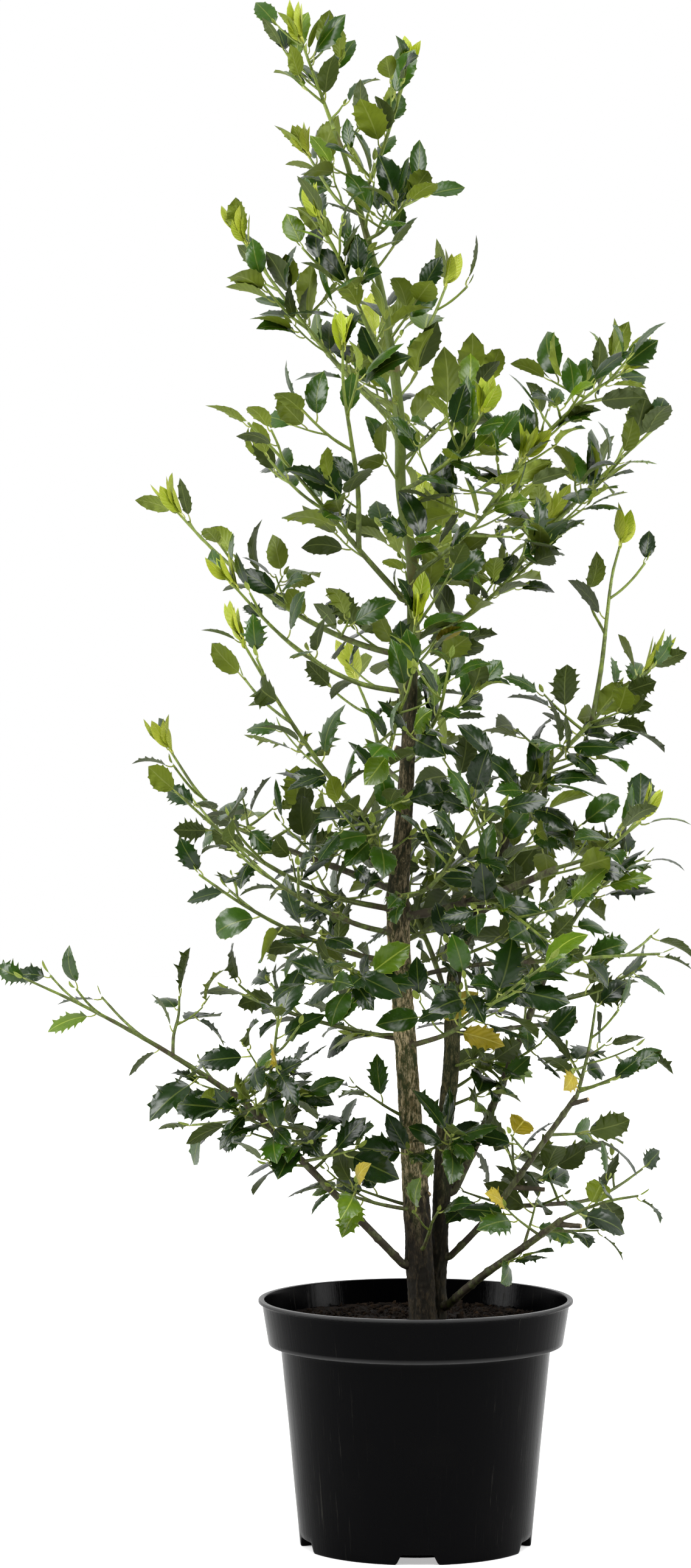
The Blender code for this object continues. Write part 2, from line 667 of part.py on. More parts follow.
def cut(target, cutter_or_collection):
    """Cut the target by one cutter, or by a collection of them."""
    step = target.modifiers.new("cut", "BOOLEAN")
    step.operation = "DIFFERENCE"
    step.solver = "EXACT"
    if isinstance(cutter_or_collection, bpy.types.Collection):
        step.operand_type = "COLLECTION"
        step.collection = cutter_or_collection
    else:
        step.object = cutter_or_collection


def block_group(name, margin, cutters):
    """The channel blocks of one size, in a collection of their own."""
    group = bpy.data.collections.new(name)
    cutters.children.link(group)
    for i, heading in enumerate(channel_headings()):
        channel_block(f"{name}_{i + 1}", heading, margin, group)
    return group


def inside_profile(shrink, top):
    """The hollow of the pot, drawn in by a little, up to a height."""
    slope = (BODY_TOP_RADIUS - BASE_RADIUS) / BAND_FOOT_HEIGHT
    floor = FLOOR + shrink
    wall = WALL + shrink
    band_slope = (BAND_TOP_RADIUS - BAND_FOOT_RADIUS) / (POT_HEIGHT - BAND_FOOT_HEIGHT)
    step_top = BAND_FOOT_HEIGHT + STEP_SLOPE + WALL + shrink
    return (
        (0.0, top),
        (BAND_FOOT_RADIUS - wall + band_slope * (top - BAND_FOOT_HEIGHT), top),
        (BAND_FOOT_RADIUS - wall + band_slope * (step_top - BAND_FOOT_HEIGHT), step_top),
        (BODY_TOP_RADIUS - wall, step_top - STEP_SLOPE),
        (BASE_RADIUS - wall + slope * (floor + FLOOR_ROUND), floor + FLOOR_ROUND),
        (BASE_RADIUS - wall - FLOOR_ROUND, floor),
        (0.0, floor),
    )


def drain_group(cutters):
    """A round drain hole through the roof of each channel."""
    group = bpy.data.collections.new("drains")
    cutters.children.link(group)
    for i, heading in enumerate(channel_headings()):
        bm = bmesh.new()
        bmesh.ops.create_cone(bm, cap_ends=True, segments=DRAIN_SIDES, radius1=DRAIN_RADIUS,
                              radius2=DRAIN_RADIUS, depth=4 * WALL)
        place = Vector((math.cos(heading), math.sin(heading), 0.0)) * DRAIN_PLACE
        bmesh.ops.translate(bm, vec=place + UP * (CHANNEL_HEIGHT + WALL / 2), verts=bm.verts)
        mesh = bpy.data.meshes.new("drain")
        bm.to_mesh(mesh)
        bm.free()
        hide_cutter(add_object(f"drain_{i + 1}", mesh, group))
    return group


def build_pot(collection, cutters, finish):
    """The shell: a turned outside, less its hollow, its drain channels and its drain holes."""
    outside = (
        (0.0, POT_HEIGHT),
        (LIP_RADIUS - LIP_ROUND, POT_HEIGHT),
        (LIP_RADIUS, POT_HEIGHT - LIP_ROUND),
        (LIP_RADIUS, POT_HEIGHT - LIP_DEPTH),
        (BAND_TOP_RADIUS, POT_HEIGHT - LIP_UNDERSIDE),
        (BAND_FOOT_RADIUS, BAND_FOOT_HEIGHT + STEP_SLOPE),
        (BAND_FOOT_RADIUS - STEP_ROUND, BAND_FOOT_HEIGHT),
        (BODY_TOP_RADIUS, BAND_FOOT_HEIGHT - STEP_SLOPE),
        (BASE_RADIUS, BASE_ROUND),
        (BASE_RADIUS - BASE_ROUND, 0.0),
        (0.0, 0.0),
    )
    pot = turned("pot", outside, collection)
    pot.data.materials.append(finish)
    hollow = turned("pot_hollow", inside_profile(0.0, POT_HEIGHT + CUTTER_OVERRUN), cutters)
    hide_cutter(hollow)
    cut(hollow, block_group("housing", WALL, cutters))
    cut(pot, hollow)
    cut(pot, block_group("channel", 0.0, cutters))
    cut(pot, drain_group(cutters))


def build_soil(collection, cutters, finish):
    """The compost that fills the pot, just clear of its wall and of the channel housings."""
    soil = turned("compost", inside_profile(GAP, SOIL_HEIGHT), collection)
    soil.data.materials.append(finish)
    cut(soil, block_group("housing_room", WALL + GAP, cutters))


def main():
    """Build the whole object."""
    collection, cutters = clear_scene()
    bark = material("bark", (0.19, 0.15, 0.10), 0.85)
    dark_bark = material("dark_bark", (0.10, 0.09, 0.06), 0.85)
    foliage = material("holly_leaf", (0.03, 0.09, 0.02), 0.35)
    plastic = material("black_plastic", (0.012, 0.012, 0.013), 0.45)
    compost = material("compost", (0.035, 0.022, 0.014), 0.95)
    finishes = {bough.name: dark_bark for bough in BOUGHS}
    finishes.update(trunk=bark, right_stem=dark_bark, foliage=foliage)
    build_plant(collection, cutters, finishes)
    build_pot(collection, cutters, plastic)
    build_soil(collection, cutters, compost)


main()
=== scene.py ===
"""The looks of a potted holly tree: bark, shoots, spiny leaves, black pot and compost.

Metres, +Z up, -Y towards the front, with the origin under the middle of the pot. Every new
surface is worked out with numpy, as a grid of two parameters or a profile carried along a path.
Shares run from 0 at a limb's foot to 1 at its tip, and headings are in degrees from +X.
"""

import itertools
import json
import math
import random
from collections import namedtuple

import bpy
import numpy as np
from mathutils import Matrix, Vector
from mathutils.bvhtree import BVHTree

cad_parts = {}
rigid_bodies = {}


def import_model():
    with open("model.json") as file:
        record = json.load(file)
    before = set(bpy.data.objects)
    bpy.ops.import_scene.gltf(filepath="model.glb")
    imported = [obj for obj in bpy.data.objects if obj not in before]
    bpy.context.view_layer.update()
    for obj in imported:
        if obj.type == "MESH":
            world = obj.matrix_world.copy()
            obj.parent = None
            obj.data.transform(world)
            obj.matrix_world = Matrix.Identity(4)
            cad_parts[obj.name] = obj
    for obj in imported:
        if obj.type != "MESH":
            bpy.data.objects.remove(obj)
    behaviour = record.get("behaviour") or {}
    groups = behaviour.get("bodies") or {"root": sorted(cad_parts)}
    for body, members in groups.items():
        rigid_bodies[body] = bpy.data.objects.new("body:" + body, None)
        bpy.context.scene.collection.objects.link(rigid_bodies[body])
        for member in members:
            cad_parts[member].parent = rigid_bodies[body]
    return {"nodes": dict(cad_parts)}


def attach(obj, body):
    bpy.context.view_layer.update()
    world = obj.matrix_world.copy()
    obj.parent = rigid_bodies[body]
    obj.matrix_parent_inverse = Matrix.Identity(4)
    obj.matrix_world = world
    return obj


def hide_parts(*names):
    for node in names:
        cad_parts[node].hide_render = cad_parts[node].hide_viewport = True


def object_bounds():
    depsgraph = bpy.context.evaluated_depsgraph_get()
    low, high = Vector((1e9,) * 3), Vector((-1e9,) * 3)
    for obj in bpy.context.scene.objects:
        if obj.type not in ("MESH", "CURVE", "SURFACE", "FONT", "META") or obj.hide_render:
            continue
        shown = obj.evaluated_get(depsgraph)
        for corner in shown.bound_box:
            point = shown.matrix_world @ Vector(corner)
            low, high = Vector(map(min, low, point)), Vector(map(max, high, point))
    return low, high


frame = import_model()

cad_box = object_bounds()
ALL_NODES = sorted(frame["nodes"])
MASSES = [name for name in ALL_NODES if name.endswith("_spray")]
BOUGH_NODES = [name for name in ALL_NODES if name.endswith("_bough")]

# The camera of the photo: a long lens level with the crown, a little left of the pot.
PHOTO_SIZE = (1136, 2576)
METRES_PER_PIXEL = 0.0006166
CAMERA_PLACE = (-0.0713, -4.6, 0.87)
AIM_HEIGHT = 0.7724
SENSOR = 36.0

# The studio: the floor's half size, and each light's place, size and power.
FLOOR_REACH = 9
LIT_MIDDLE = (-0.05, 0.0, 0.8)
LIGHTS = (
    ("left_box", (-2.6, -0.7, 1.6), (1.0, 2.4), 74.0),
    ("right_box", (2.6, -0.6, 1.5), (1.0, 2.4), 61.0),
    ("top_box", (0.3, -1.6, 3.3), (1.8, 1.8), 76.0),
)

# The rule of growth that the solids follow.
GAP = 0.0003
SEAT_GAP = 0.0004
UP = np.array((0.0, 0.0, 1.0))
POT_HEIGHT = 0.250
SOIL_HEIGHT = 0.225
TRUNK_LINE = (
    (SOIL_HEIGHT + GAP, 0.007, 0.000, 0.0158),
    (0.236, 0.007, 0.000, 0.0142),
    (0.360, 0.000, 0.004, 0.0134),
    (0.430, -0.005, 0.005, 0.0116),
    (0.520, -0.011, 0.006, 0.0108),
    (0.640, -0.018, 0.000, 0.0112),
    (0.740, -0.012, -0.006, 0.0084),
    (0.850, -0.006, -0.008, 0.0068),
    (0.980, -0.003, -0.004, 0.0060),
    (1.070, -0.015, 0.004, 0.0055),
    (1.150, -0.017, 0.008, 0.0052),
    (1.260, -0.033, 0.010, 0.0040),
    (1.320, -0.048, 0.008, 0.0034),
    (1.400, -0.070, 0.004, 0.0027),
    (1.434, -0.083, 0.000, 0.0024),
)
RIGHT_STEM_LINE = (
    (SOIL_HEIGHT + GAP, 0.0225, 0.020, 0.0088),
    (0.245, 0.0225, 0.020, 0.0085),
    (0.333, 0.0255, 0.019, 0.0085),
    (0.410, 0.0290, 0.017, 0.0084),
    (0.490, 0.0365, 0.013, 0.0082),
    (0.580, 0.0400, 0.010, 0.0072),
    (0.642, 0.0620, 0.008, 0.0056),
    (0.703, 0.0870, 0.004, 0.0048),
    (0.743, 0.0995, 0.000, 0.0040),
)
STEM_STEP = 0.045
BOUGH_STEP = 0.028
SHOOT_STEP = 0.048
WANDER = 0.022

Limb = namedtuple("Limb", "name carrier share heading reach rise bow radius tip_radius")
BOUGHS = (
    Limb("low_left_bough", "trunk", 0.050, -160, 0.165, 0.165, 0.50, 0.0042, 0.0031),
    Limb("low_right_bough", "right_stem", 0.125, -27, 0.140, 0.168, 0.40, 0.0036, 0.0028),
    Limb("foot_bough", "right_stem", 0.030, -40, 0.145, 0.098, 0.55, 0.0045, 0.0032),
    Limb("side_bough", "right_stem", 0.212, 14, 0.130, 0.004, 0.60, 0.0028, 0.0022),
    Limb("right_bough", "right_stem", 0.250, 8, 0.105, 0.245, 0.44, 0.0043, 0.0033),
    Limb("wide_bough", "trunk", 0.341, -23, 0.155, 0.050, 0.29, 0.0044, 0.0034),
    Limb("thin_bough", "trunk", 0.288, -36, 0.142, 0.021, 0.90, 0.0025, 0.0019),
    Limb("left_bough", "trunk", 0.362, 149, 0.150, 0.047, 0.50, 0.0036, 0.0026),
    Limb("dead_bough", "right_stem", 0.554, 41, 0.165, 0.004, 0.50, 0.0026, 0.0022),
)

Shoot = namedtuple("Shoot", "name carrier share heading reach rise bow leafy lush")
SHOOTS = (
    Shoot("top_spray", "trunk", 1.000, 180, 0.032, 0.086, 0.50, 0.20, True),
    Shoot("top_right_spray", "trunk", 0.940, -39, 0.057, 0.118, 0.34, 0.25, True),
    Shoot("top_left_spray", "trunk", 0.928, 138, 0.068, 0.065, 0.18, 0.25, True),
    Shoot("top_front_spray", "trunk", 0.905, -62, 0.075, 0.030, 0.20, 0.25, False),
    Shoot("upper_left_spray", "trunk", 0.755, 164, 0.158, 0.185, 0.38, 0.30, True),
    Shoot("upper_front_spray", "trunk", 0.800, -138, 0.097, 0.142, 0.48, 0.25, True),
    Shoot("upper_side_spray", "trunk", 0.790, 40, 0.062, 0.095, 0.40, 0.25, True),
    Shoot("upper_back_spray", "trunk", 0.735, 100, 0.140, 0.125, 0.30, 0.25, True),
    Shoot("upper_right_spray", "trunk", 0.722, 42, 0.097, 0.078, 0.41, 0.25, True),
    Shoot("fore_right_spray", "trunk", 0.694, -58, 0.140, 0.070, 0.10, 0.25, True),
    Shoot("high_left_spray", "trunk", 0.602, -157, 0.170, 0.175, 0.51, 0.35, False),
    Shoot("high_left_riser", "high_left_spray", 0.300, -104, 0.066, 0.200, 0.61, 0.20, True),
    Shoot("high_right_spray", "trunk", 0.625, -40, 0.135, 0.110, 0.25, 0.35, True),
    Shoot("high_right_arm", "high_right_spray", 0.580, 4, 0.145, 0.145, 0.75, 0.15, True),
    Shoot("high_back_spray", "trunk", 0.590, 84, 0.175, 0.115, 0.25, 0.30, True),
    Shoot("wing_right_spray", "trunk", 0.574, 23, 0.142, 0.118, 0.06, 0.45, True),
    Shoot("wing_right_arm", "wing_right_spray", 0.780, 20, 0.140, 0.128, 0.56, 0.10, False),
    Shoot("wing_left_spray", "trunk", 0.556, 171, 0.235, 0.150, 0.14, 0.35, True),
    Shoot("mid_left_spray", "trunk", 0.526, -163, 0.178, 0.108, 0.04, 0.30, True),
    Shoot("mid_front_spray", "trunk", 0.472, -74, 0.135, 0.097, 0.09, 0.30, False),
    Shoot("mid_back_spray", "trunk", 0.450, 105, 0.190, 0.110, 0.20, 0.25, True),
    Shoot("fan_spray", "trunk", 0.376, -121, 0.067, 0.066, 0.50, 0.45, False),
    Shoot("fan_left_arm", "fan_spray", 0.930, -170, 0.122, 0.175, 0.38, 0.10, True),
    Shoot("fan_right_arm", "fan_spray", 0.900, -14, 0.056, 0.200, 0.17, 0.15, True),
    Shoot("front_right_spray", "trunk", 0.357, -63, 0.160, 0.095, 0.08, 0.25, False),
    Shoot("left_spray", "left_bough", 1.000, 165, 0.098, 0.092, 0.12, 0.05, True),
    Shoot("left_low_spray", "trunk", 0.346, -169, 0.214, 0.119, 0.12, 0.35, False),
    Shoot("front_left_spray", "trunk", 0.327, -139, 0.205, 0.097, 0.16, 0.30, False),
    Shoot("back_spray", "trunk", 0.318, 58, 0.190, 0.080, 0.25, 0.30, False),
    Shoot("left_mid_spray", "trunk", 0.303, -152, 0.212, 0.092, 0.20, 0.35, False),
    Shoot("front_spray", "trunk", 0.276, -122, 0.150, 0.022, 0.66, 0.35, False),
    Shoot("back_left_spray", "trunk", 0.282, 133, 0.159, 0.040, 0.32, 0.30, False),
    Shoot("low_left_spray", "trunk", 0.238, 162, 0.175, 0.046, 0.23, 0.40, False),
    Shoot("low_front_spray", "trunk", 0.232, -56, 0.195, 0.080, 0.25, 0.30, False),
    Shoot("fork_spray", "right_stem", 0.621, 124, 0.165, 0.170, 0.75, 0.50, False),
    Shoot("crest_spray", "right_stem", 1.000, 8, 0.140, 0.145, 0.61, 0.05, True),
    Shoot("crest_riser", "crest_spray", 0.600, 56, 0.058, 0.185, 0.65, 0.15, True),
    Shoot("far_right_spray", "right_stem", 0.921, 52, 0.147, 0.010, 0.57, 0.30, False),
    Shoot("wide_spray", "wide_bough", 1.000, -7, 0.082, 0.046, 0.18, 0.05, True),
    Shoot("wide_low_spray", "wide_bough", 0.532, -57, 0.100, -0.035, 0.30, 0.30, False),
    Shoot("right_spray", "right_bough", 1.000, -3, 0.090, 0.092, 0.85, 0.05, False),
    Shoot("right_back_spray", "right_bough", 0.860, 105, 0.095, 0.090, 0.54, 0.25, False),
    Shoot("right_low_spray", "right_bough", 0.774, 47, 0.150, 0.028, 0.26, 0.30, False),
    Shoot("thin_spray", "thin_bough", 1.000, 0, 0.128, 0.008, 0.62, 0.05, False),
    Shoot("low_right_spray", "low_right_bough", 1.000, 65, 0.050, 0.088, 0.27, 0.10, False),
    Shoot("low_right_arm", "low_right_spray", 0.060, -8, 0.048, 0.020, 0.42, 0.30, False),
    Shoot("side_spray", "side_bough", 1.000, 32, 0.084, 0.030, 0.10, 0.05, False),
    Shoot("side_back_spray", "side_bough", 0.542, 91, 0.067, 0.054, 0.46, 0.25, False),
    Shoot("foot_spray", "foot_bough", 1.000, -19, 0.078, 0.026, 0.80, 0.10, False),
    Shoot("sweep_spray", "low_left_bough", 1.000, -171, 0.222, 0.128, 0.62, 0.15, False),
    Shoot("sweep_riser", "sweep_spray", 0.356, 84, 0.047, 0.056, 0.53, 0.20, False),
    Shoot("sweep_front_spray", "low_left_bough", 0.930, -77, 0.066, 0.104, 0.47, 0.20, False),
    Shoot("sweep_back_spray", "low_left_bough", 0.940, 150, 0.074, -0.010, 0.60, 0.10, False),
    Shoot("foot_front_spray", "trunk", 0.062, -79, 0.072, 0.046, 0.60, 0.60, False),
    Shoot("foot_left_spray", "trunk", 0.096, -135, 0.105, 0.030, 0.29, 0.40, False),
)
SHOOT_FOOT_RADIUS = 0.0015
SHOOT_SWELL = 0.0070
SHOOT_TIP_RADIUS = 0.0012
TWIG_FROM_LENGTH = 0.090
TWIG_EVERY = 0.085
TWIG_FIRST = 0.38
TWIG_LAST = 0.84
TWIG_PLACE = (0.2, 0.8)
TWIG_ANGLE = (38, 56)
TWIG_CLIMB = (0.21, 0.49)
TWIG_FOLLOW = 0.60
TWIG_LENGTH = 0.028
TWIG_REACH = (0.31, 0.48)
TWIG_BOW = 0.30
TWIG_SLIMNESS = 0.80
TWIG_LEAFY = 0.30
GOLDEN_DEGREES = 137.5
GOLDEN_ANGLE = math.radians(GOLDEN_DEGREES)
LEAF_TURN = 0.35
LEAF_LAST = 0.98
TIP_LEAF_LIFT = 0.60
TIP_LEAF_LENGTH = 0.86
LEAF_SPACING = 0.0255
LEAF_LENGTH = (0.054, 0.070)
LEAF_LIFT = (46, 66)
LEAF_LIGHT = 0.30
LEAF_DROOP = 0.40
LEAF_ROLL = 0.60
LEAF_LOWEST = POT_HEIGHT + 0.004
LUSH_LEAVES = 3
LUSH_FIRST = 0.985
LUSH_STEP = 0.020
LUSH_LENGTH = (0.022, 0.036)
LUSH_LIFT = (10, 32)

# What the looks add to the rule: leaves of life size, more of them, young ones and finer twigs.
LIFE_SIZE = (0.74, 1.02)
BETWEEN_SHARE = 0.50
BETWEEN_TURN = 0.60
FINE_TWIG_EVERY = 0.042
FINE_TWIG_FIRST = 0.08
FINE_TWIG_LAST = 0.66
FINE_TWIG_PLACE = (0.1, 0.9)
FINE_TWIG_LENGTH = (0.024, 0.060)
FINE_TWIG_AT_FOOT = 1.2
FINE_TWIG_SHORTENING = 0.6
FINE_TWIG_FOOT_RADIUS = 0.0011
FINE_TWIG_TIP_RADIUS = 0.0008
FINE_TWIG_STEP = 0.024
FINE_TWIG_ANGLE = (35, 75)
FINE_TWIG_CLIMB = (-0.25, 0.75)
FINE_LEAF_SPACING = 0.0175
FACE_TO_TIP = 0.55
FACE_TO_SKY = 0.80
FACE_OUTWARD = (0.22, 0.75)
FACE_ROLL = 0.75
LOW_DROOP = 0.95
BUD_LENGTH = (0.010, 0.018)
BUD_LIFT = (6, 16)
FLUSH_LEAVES = 5
FLUSH_LENGTH = (0.030, 0.045)
FLUSH_LIFT = (14, 40)
FLUSH_CLIMB = 0.4
FLUSH_STEP = 0.012

# Tufts: short leafy spurs straight from stems, boughs and long shoots. Each stands a golden angle
# further round, or swings by chance about the heading that its row gives.
Tuft = namedtuple("Tuft", "carrier first last count heading reach climb")
TUFTS = (
    Tuft("trunk", 0.660, 0.985, 16, None, (0.014, 0.040), (0.4, 1.6)),
    Tuft("trunk", 0.400, 0.660, 3, None, (0.025, 0.060), (0.3, 1.2)),
    Tuft("trunk", 0.500, 0.600, 5, -30, (0.030, 0.060), (0.3, 1.2)),
    Tuft("trunk", 0.215, 0.400, 3, None, (0.030, 0.070), (0.0, 0.8)),
    Tuft("trunk", 0.085, 0.180, 4, -105, (0.040, 0.080), (0.2, 0.9)),
    Tuft("right_stem", 0.280, 0.620, 7, -35, (0.040, 0.090), (0.1, 0.9)),
    Tuft("right_stem", 0.620, 0.980, 5, None, (0.030, 0.070), (0.2, 1.0)),
    Tuft("right_stem", 0.840, 0.990, 6, None, (0.040, 0.075), (0.8, 1.6)),
    Tuft("low_left_bough", 0.600, 0.990, 14, None, (0.030, 0.066), (-0.4, 0.8)),
    Tuft("low_right_bough", 0.500, 0.850, 3, None, (0.030, 0.055), (-0.2, 0.8)),
    Tuft("foot_bough", 0.450, 0.980, 4, None, (0.030, 0.055), (-0.1, 0.8)),
    Tuft("side_bough", 0.400, 0.980, 3, None, (0.025, 0.055), (0.0, 0.8)),
    Tuft("right_bough", 0.420, 0.980, 8, None, (0.030, 0.065), (-0.2, 0.9)),
    Tuft("wide_bough", 0.200, 0.980, 4, None, (0.030, 0.065), (0.0, 0.9)),
    Tuft("thin_bough", 0.250, 0.980, 3, None, (0.025, 0.060), (-0.2, 0.8)),
    Tuft("left_bough", 0.200, 0.980, 7, None, (0.030, 0.065), (-0.2, 0.9)),
    Tuft("dead_bough", 0.100, 0.300, 1, None, (0.025, 0.050), (0.0, 0.9)),
    Tuft("crest_spray", 0.020, 0.620, 9, None, (0.030, 0.065), (0.0, 1.0)),
    Tuft("high_right_arm", 0.100, 0.950, 11, None, (0.020, 0.045), (0.0, 1.0)),
    Tuft("high_right_spray", 0.200, 0.950, 8, None, (0.025, 0.055), (-0.2, 1.0)),
    Tuft("wing_right_spray", 0.100, 0.950, 10, None, (0.025, 0.055), (-0.2, 1.0)),
    Tuft("wing_right_arm", 0.050, 0.450, 2, None, (0.025, 0.050), (0.0, 1.0)),
    Tuft("upper_right_spray", 0.100, 0.700, 3, None, (0.020, 0.045), (0.0, 1.0)),
    Tuft("top_spray", 0.050, 0.980, 7, None, (0.010, 0.026), (0.2, 1.6)),
    Tuft("top_front_spray", 0.150, 0.950, 6, None, (0.012, 0.030), (0.2, 1.4)),
    Tuft("upper_front_spray", 0.150, 0.950, 6, None, (0.015, 0.035), (0.0, 1.2)),
    Tuft("upper_left_spray", 0.150, 0.800, 4, None, (0.015, 0.030), (0.0, 1.2)),
    Tuft("top_right_spray", 0.150, 0.950, 3, 170, (0.008, 0.020), (0.2, 1.4)),
    Tuft("fan_spray", 0.100, 0.950, 7, None, (0.020, 0.050), (-0.2, 1.0)),
    Tuft("fork_spray", 0.200, 0.900, 4, None, (0.020, 0.045), (-0.2, 1.0)),
    Tuft("left_spray", 0.050, 0.300, 4, None, (0.020, 0.045), (-0.2, 1.0)),
    Tuft("left_low_spray", 0.050, 0.400, 4, None, (0.020, 0.045), (-0.2, 1.0)),
    Tuft("wing_left_spray", 0.050, 0.380, 3, None, (0.020, 0.040), (0.0, 1.0)),
    Tuft("low_front_spray", 0.300, 0.950, 4, None, (0.020, 0.045), (-0.2, 1.0)),
    Tuft("sweep_spray", 0.020, 0.200, 5, None, (0.030, 0.050), (-0.5, 0.9)),
    Tuft("sweep_front_spray", 0.050, 0.600, 4, None, (0.020, 0.045), (-0.6, 0.5)),
    Tuft("low_right_spray", 0.050, 0.500, 4, None, (0.020, 0.045), (-0.2, 0.8)),
)
TUFT_SWING = 75
TUFT_BOW = 0.4
TUFT_FOOT_RADIUS = 0.0013
TUFT_SWELL = 0.010
TUFT_TIP_RADIUS = 0.0009

# The share of its length past which a shoot or twig keeps only one leaf in three.
BARE_BEYOND = {
    "sweep_spray": 0.16, "sweep_spray_1": 0.0, "sweep_spray_2": 0.0, "sweep_spray_3": 0.0,
    "wing_left_spray": 0.45, "wing_left_spray_1": 0.6, "wing_left_spray_2": 0.4,
    "wing_left_spray_3": 0.2, "left_spray": 0.24, "left_spray_1": 0.3, "left_low_spray": 0.40,
    "left_low_spray_1": 0.3, "left_low_spray_2": 0.2, "left_mid_spray": 0.60,
    "left_mid_spray_1": 0.3, "front_left_spray": 0.35, "front_left_spray_2": 0.1,
    "upper_left_spray": 0.75, "upper_left_spray_2": 0.3, "upper_side_spray": 0.55,
    "upper_side_spray_1": 0.2, "high_left_riser": 0.35, "high_left_spray": 0.55,
    "high_left_spray_1": 0.9, "fan_left_arm": 0.45, "fan_left_arm_1": 0.2, "fan_left_arm_2": 0.3,
    "mid_left_spray": 0.50, "mid_back_spray": 0.40, "mid_back_spray_2": 0.3, "crest_riser": 0.20,
    "crest_riser_1": 0.2, "crest_riser_2": 0.2, "crest_spray_2": 0.3, "thin_spray": 0.40,
    "thin_spray_1": 0.4, "low_right_spray": 0.45, "low_right_spray_1": 0.2,
    "right_low_spray": 0.30, "side_spray": 0.55, "foot_spray": 0.55, "low_left_spray": 0.45,
    "wing_right_arm_1": 0.3, "top_right_spray": 0.70, "front_left_spray_1": 0.4,
    "mid_left_spray_1": 0.3, "high_right_arm_2": 0.5, "high_right_spray_2": 0.5,
}
THINNED_RANKS = 3

# How far past the solids' box a twig or leaf may stand.
REACH_BEYOND = 0.009
REACH_LOW = np.array(cad_box[0]) - REACH_BEYOND
REACH_HIGH = np.array(cad_box[1]) + REACH_BEYOND

# The leaf: a stalk, and a blade with five spines a side. The stalk is a share of the leaf, and
# the marks along the margin are shares of its blade.
STALK_SHARE = 0.19
STALK_RADIUS = 0.00095
STALK_RINGS = (0.0, 0.34, 0.68, 1.0)
STALK_SIDES = 3
STALK_HOOK = 0.45
STALK_TAPER = (1.25, 0.35)
BLADE_SPINES = 5
MARGIN_START = 0.055
FIRST_SPINE = 0.14
SPINE_SPACING = 0.17
SPINE_TO_STEP = 0.024
SPINE_TO_BULGE = 0.098
BLADE_THICKNESS = 0.00055
RIB_RISE = 0.3
UNDER_RIB_DROP = 0.7
TIP_POINT = 0.045
SPINE_LEAD = 0.09
STEP_DRAWN_IN = 0.55
BULGE_DRAWN_IN = 0.60
MIDDLE_BULGE = 0.09
TWIST_CENTRE = 0.3
LOW_CROWN = (1.15, 0.65)
HOLLOW_SHARE = 0.5

# What each blade draws: for young leaves, for grown ones, and what hollow ones add. The half
# width is a share of the blade's length and the rest are shares of the half width, but the bend
# is in radians and the keel and twist are slopes.
YOUNG_HALF_WIDTH = (0.20, 0.29)
BLADE_HALF_WIDTH = (0.25, 0.33)
YOUNG_SPINE = (0.0, 0.03)
GROWN_SPINE = (0.04, 0.13)
HOLLOW_SPINE = (0.10, 0.26)
YOUNG_BEND = (-0.15, 0.25)
GROWN_BEND = (0.15, 1.15)
LEAST_BEND = 0.01
YOUNG_KEEL = (0.15, 0.50)
GROWN_KEEL = (-0.26, 0.34)
YOUNG_WAVE = (0.0, 0.03)
GROWN_WAVE = (0.02, 0.12)
HOLLOW_WAVE = (0.05, 0.22)
TWIST = (-0.5, 0.5)
SPINE_VIGOUR = (0.25, 1.25)

# The plain leaves and wood of the test for clearance, the leaves' sharp edges in degrees, and how
# far a tube's poles stand out, as a share of its radius.
KITE_HALF_WIDTH = 0.17
KITE_SHARES = (0.30, 0.60, 0.94)
CLEARANCE_SIDES = 4
LEAF_CREASE = 70
CAP_RISE = 0.4

# Bark relief: ridges as wide and long as the scales here, fading where the bark turns smooth.
TRUNK_BARK_TOP = 0.92
RIGHT_STEM_BARK_TOP = 1.2
BARK_FADE = 0.16
RIDGE_WIDTH = 0.0020
RIDGE_LENGTH = 0.0085
RIDGE_HEIGHT = 0.0009
WARP_LENGTH = 0.03
WARP_TURN = 0.7
RIDGE_CONTRAST = (1.5, 0.9)
FINE_RIDGE_SCALE = (2.1, 2.1, 2.6)
GRAIN_SCALE = (1.6, 1.6, 6.0)
GRAIN_HEIGHT = 0.0003
SMOOTH_GRAIN_HEIGHT = 0.00012
JOINT_SWELL = 0.45
JOINT_REACH = 2.2
JOINT_RISE = 0.001
KNOT_HEIGHT = 1.195
KNOT_SWELL = 0.0016
KNOT_LENGTH = 0.0045
KNOT_ROUGHNESS = (0.6, 0.8)
STEM_POLES = ((0, 0, -0.0005), (0, 0, 0.0008))
STEM_CURVE_STEPS = 24
STEM_FOOT_SUNK = 0.004
TRUNK_COLUMNS = 84
TRUNK_FINE_TOP = 0.80
TRUNK_FINE_STEP = 0.0013
TRUNK_TOP_STEP = 0.0026
RIGHT_STEM_COLUMNS = 56
RIGHT_STEM_STEP = 0.0018

# Limbs: how deep they root in their carriers, their flared feet, how far apart their rings are,
# and how far apart and how high their leaf scars are.
ROOT_DEPTH = 0.6
FOOT_FLARE = (1.35, 1.25)
SCAR_LENGTH = 0.0022
SCAR_TURN = 2.4
SCAR_SIDES = (0.6, 0.4)
SKIN_LENGTH = 0.006
SKIN_SHARE = 0.35
BOUGH_SIDES = 18
BOUGH_RINGS = 0.0022
BOUGH_SCARS = (0.026, 0.0010)
BOUGH_AGES = (1.0, 0.55)
STUB_SIDES = 14
STUB_RINGS = 0.0015
STUB_SCARS = (0.009, 0.0004)
STUB_STEP = 0.004
STUB_BOW = 0.5
STUB_TAPER = (1.15, 0.9)
STUB_EDGE = 0.0001
STUB_FACE_SHARE = 0.88
SHOOT_SIDES = 7
SHOOT_RINGS = 0.0055
SHOOT_SCARS = (0.018, 0.00030)
SHOOT_OLD_HEIGHT = 1.15
SHOOT_OLD_STRETCH = 0.8
SHOOT_OLD_SHARE = 0.55
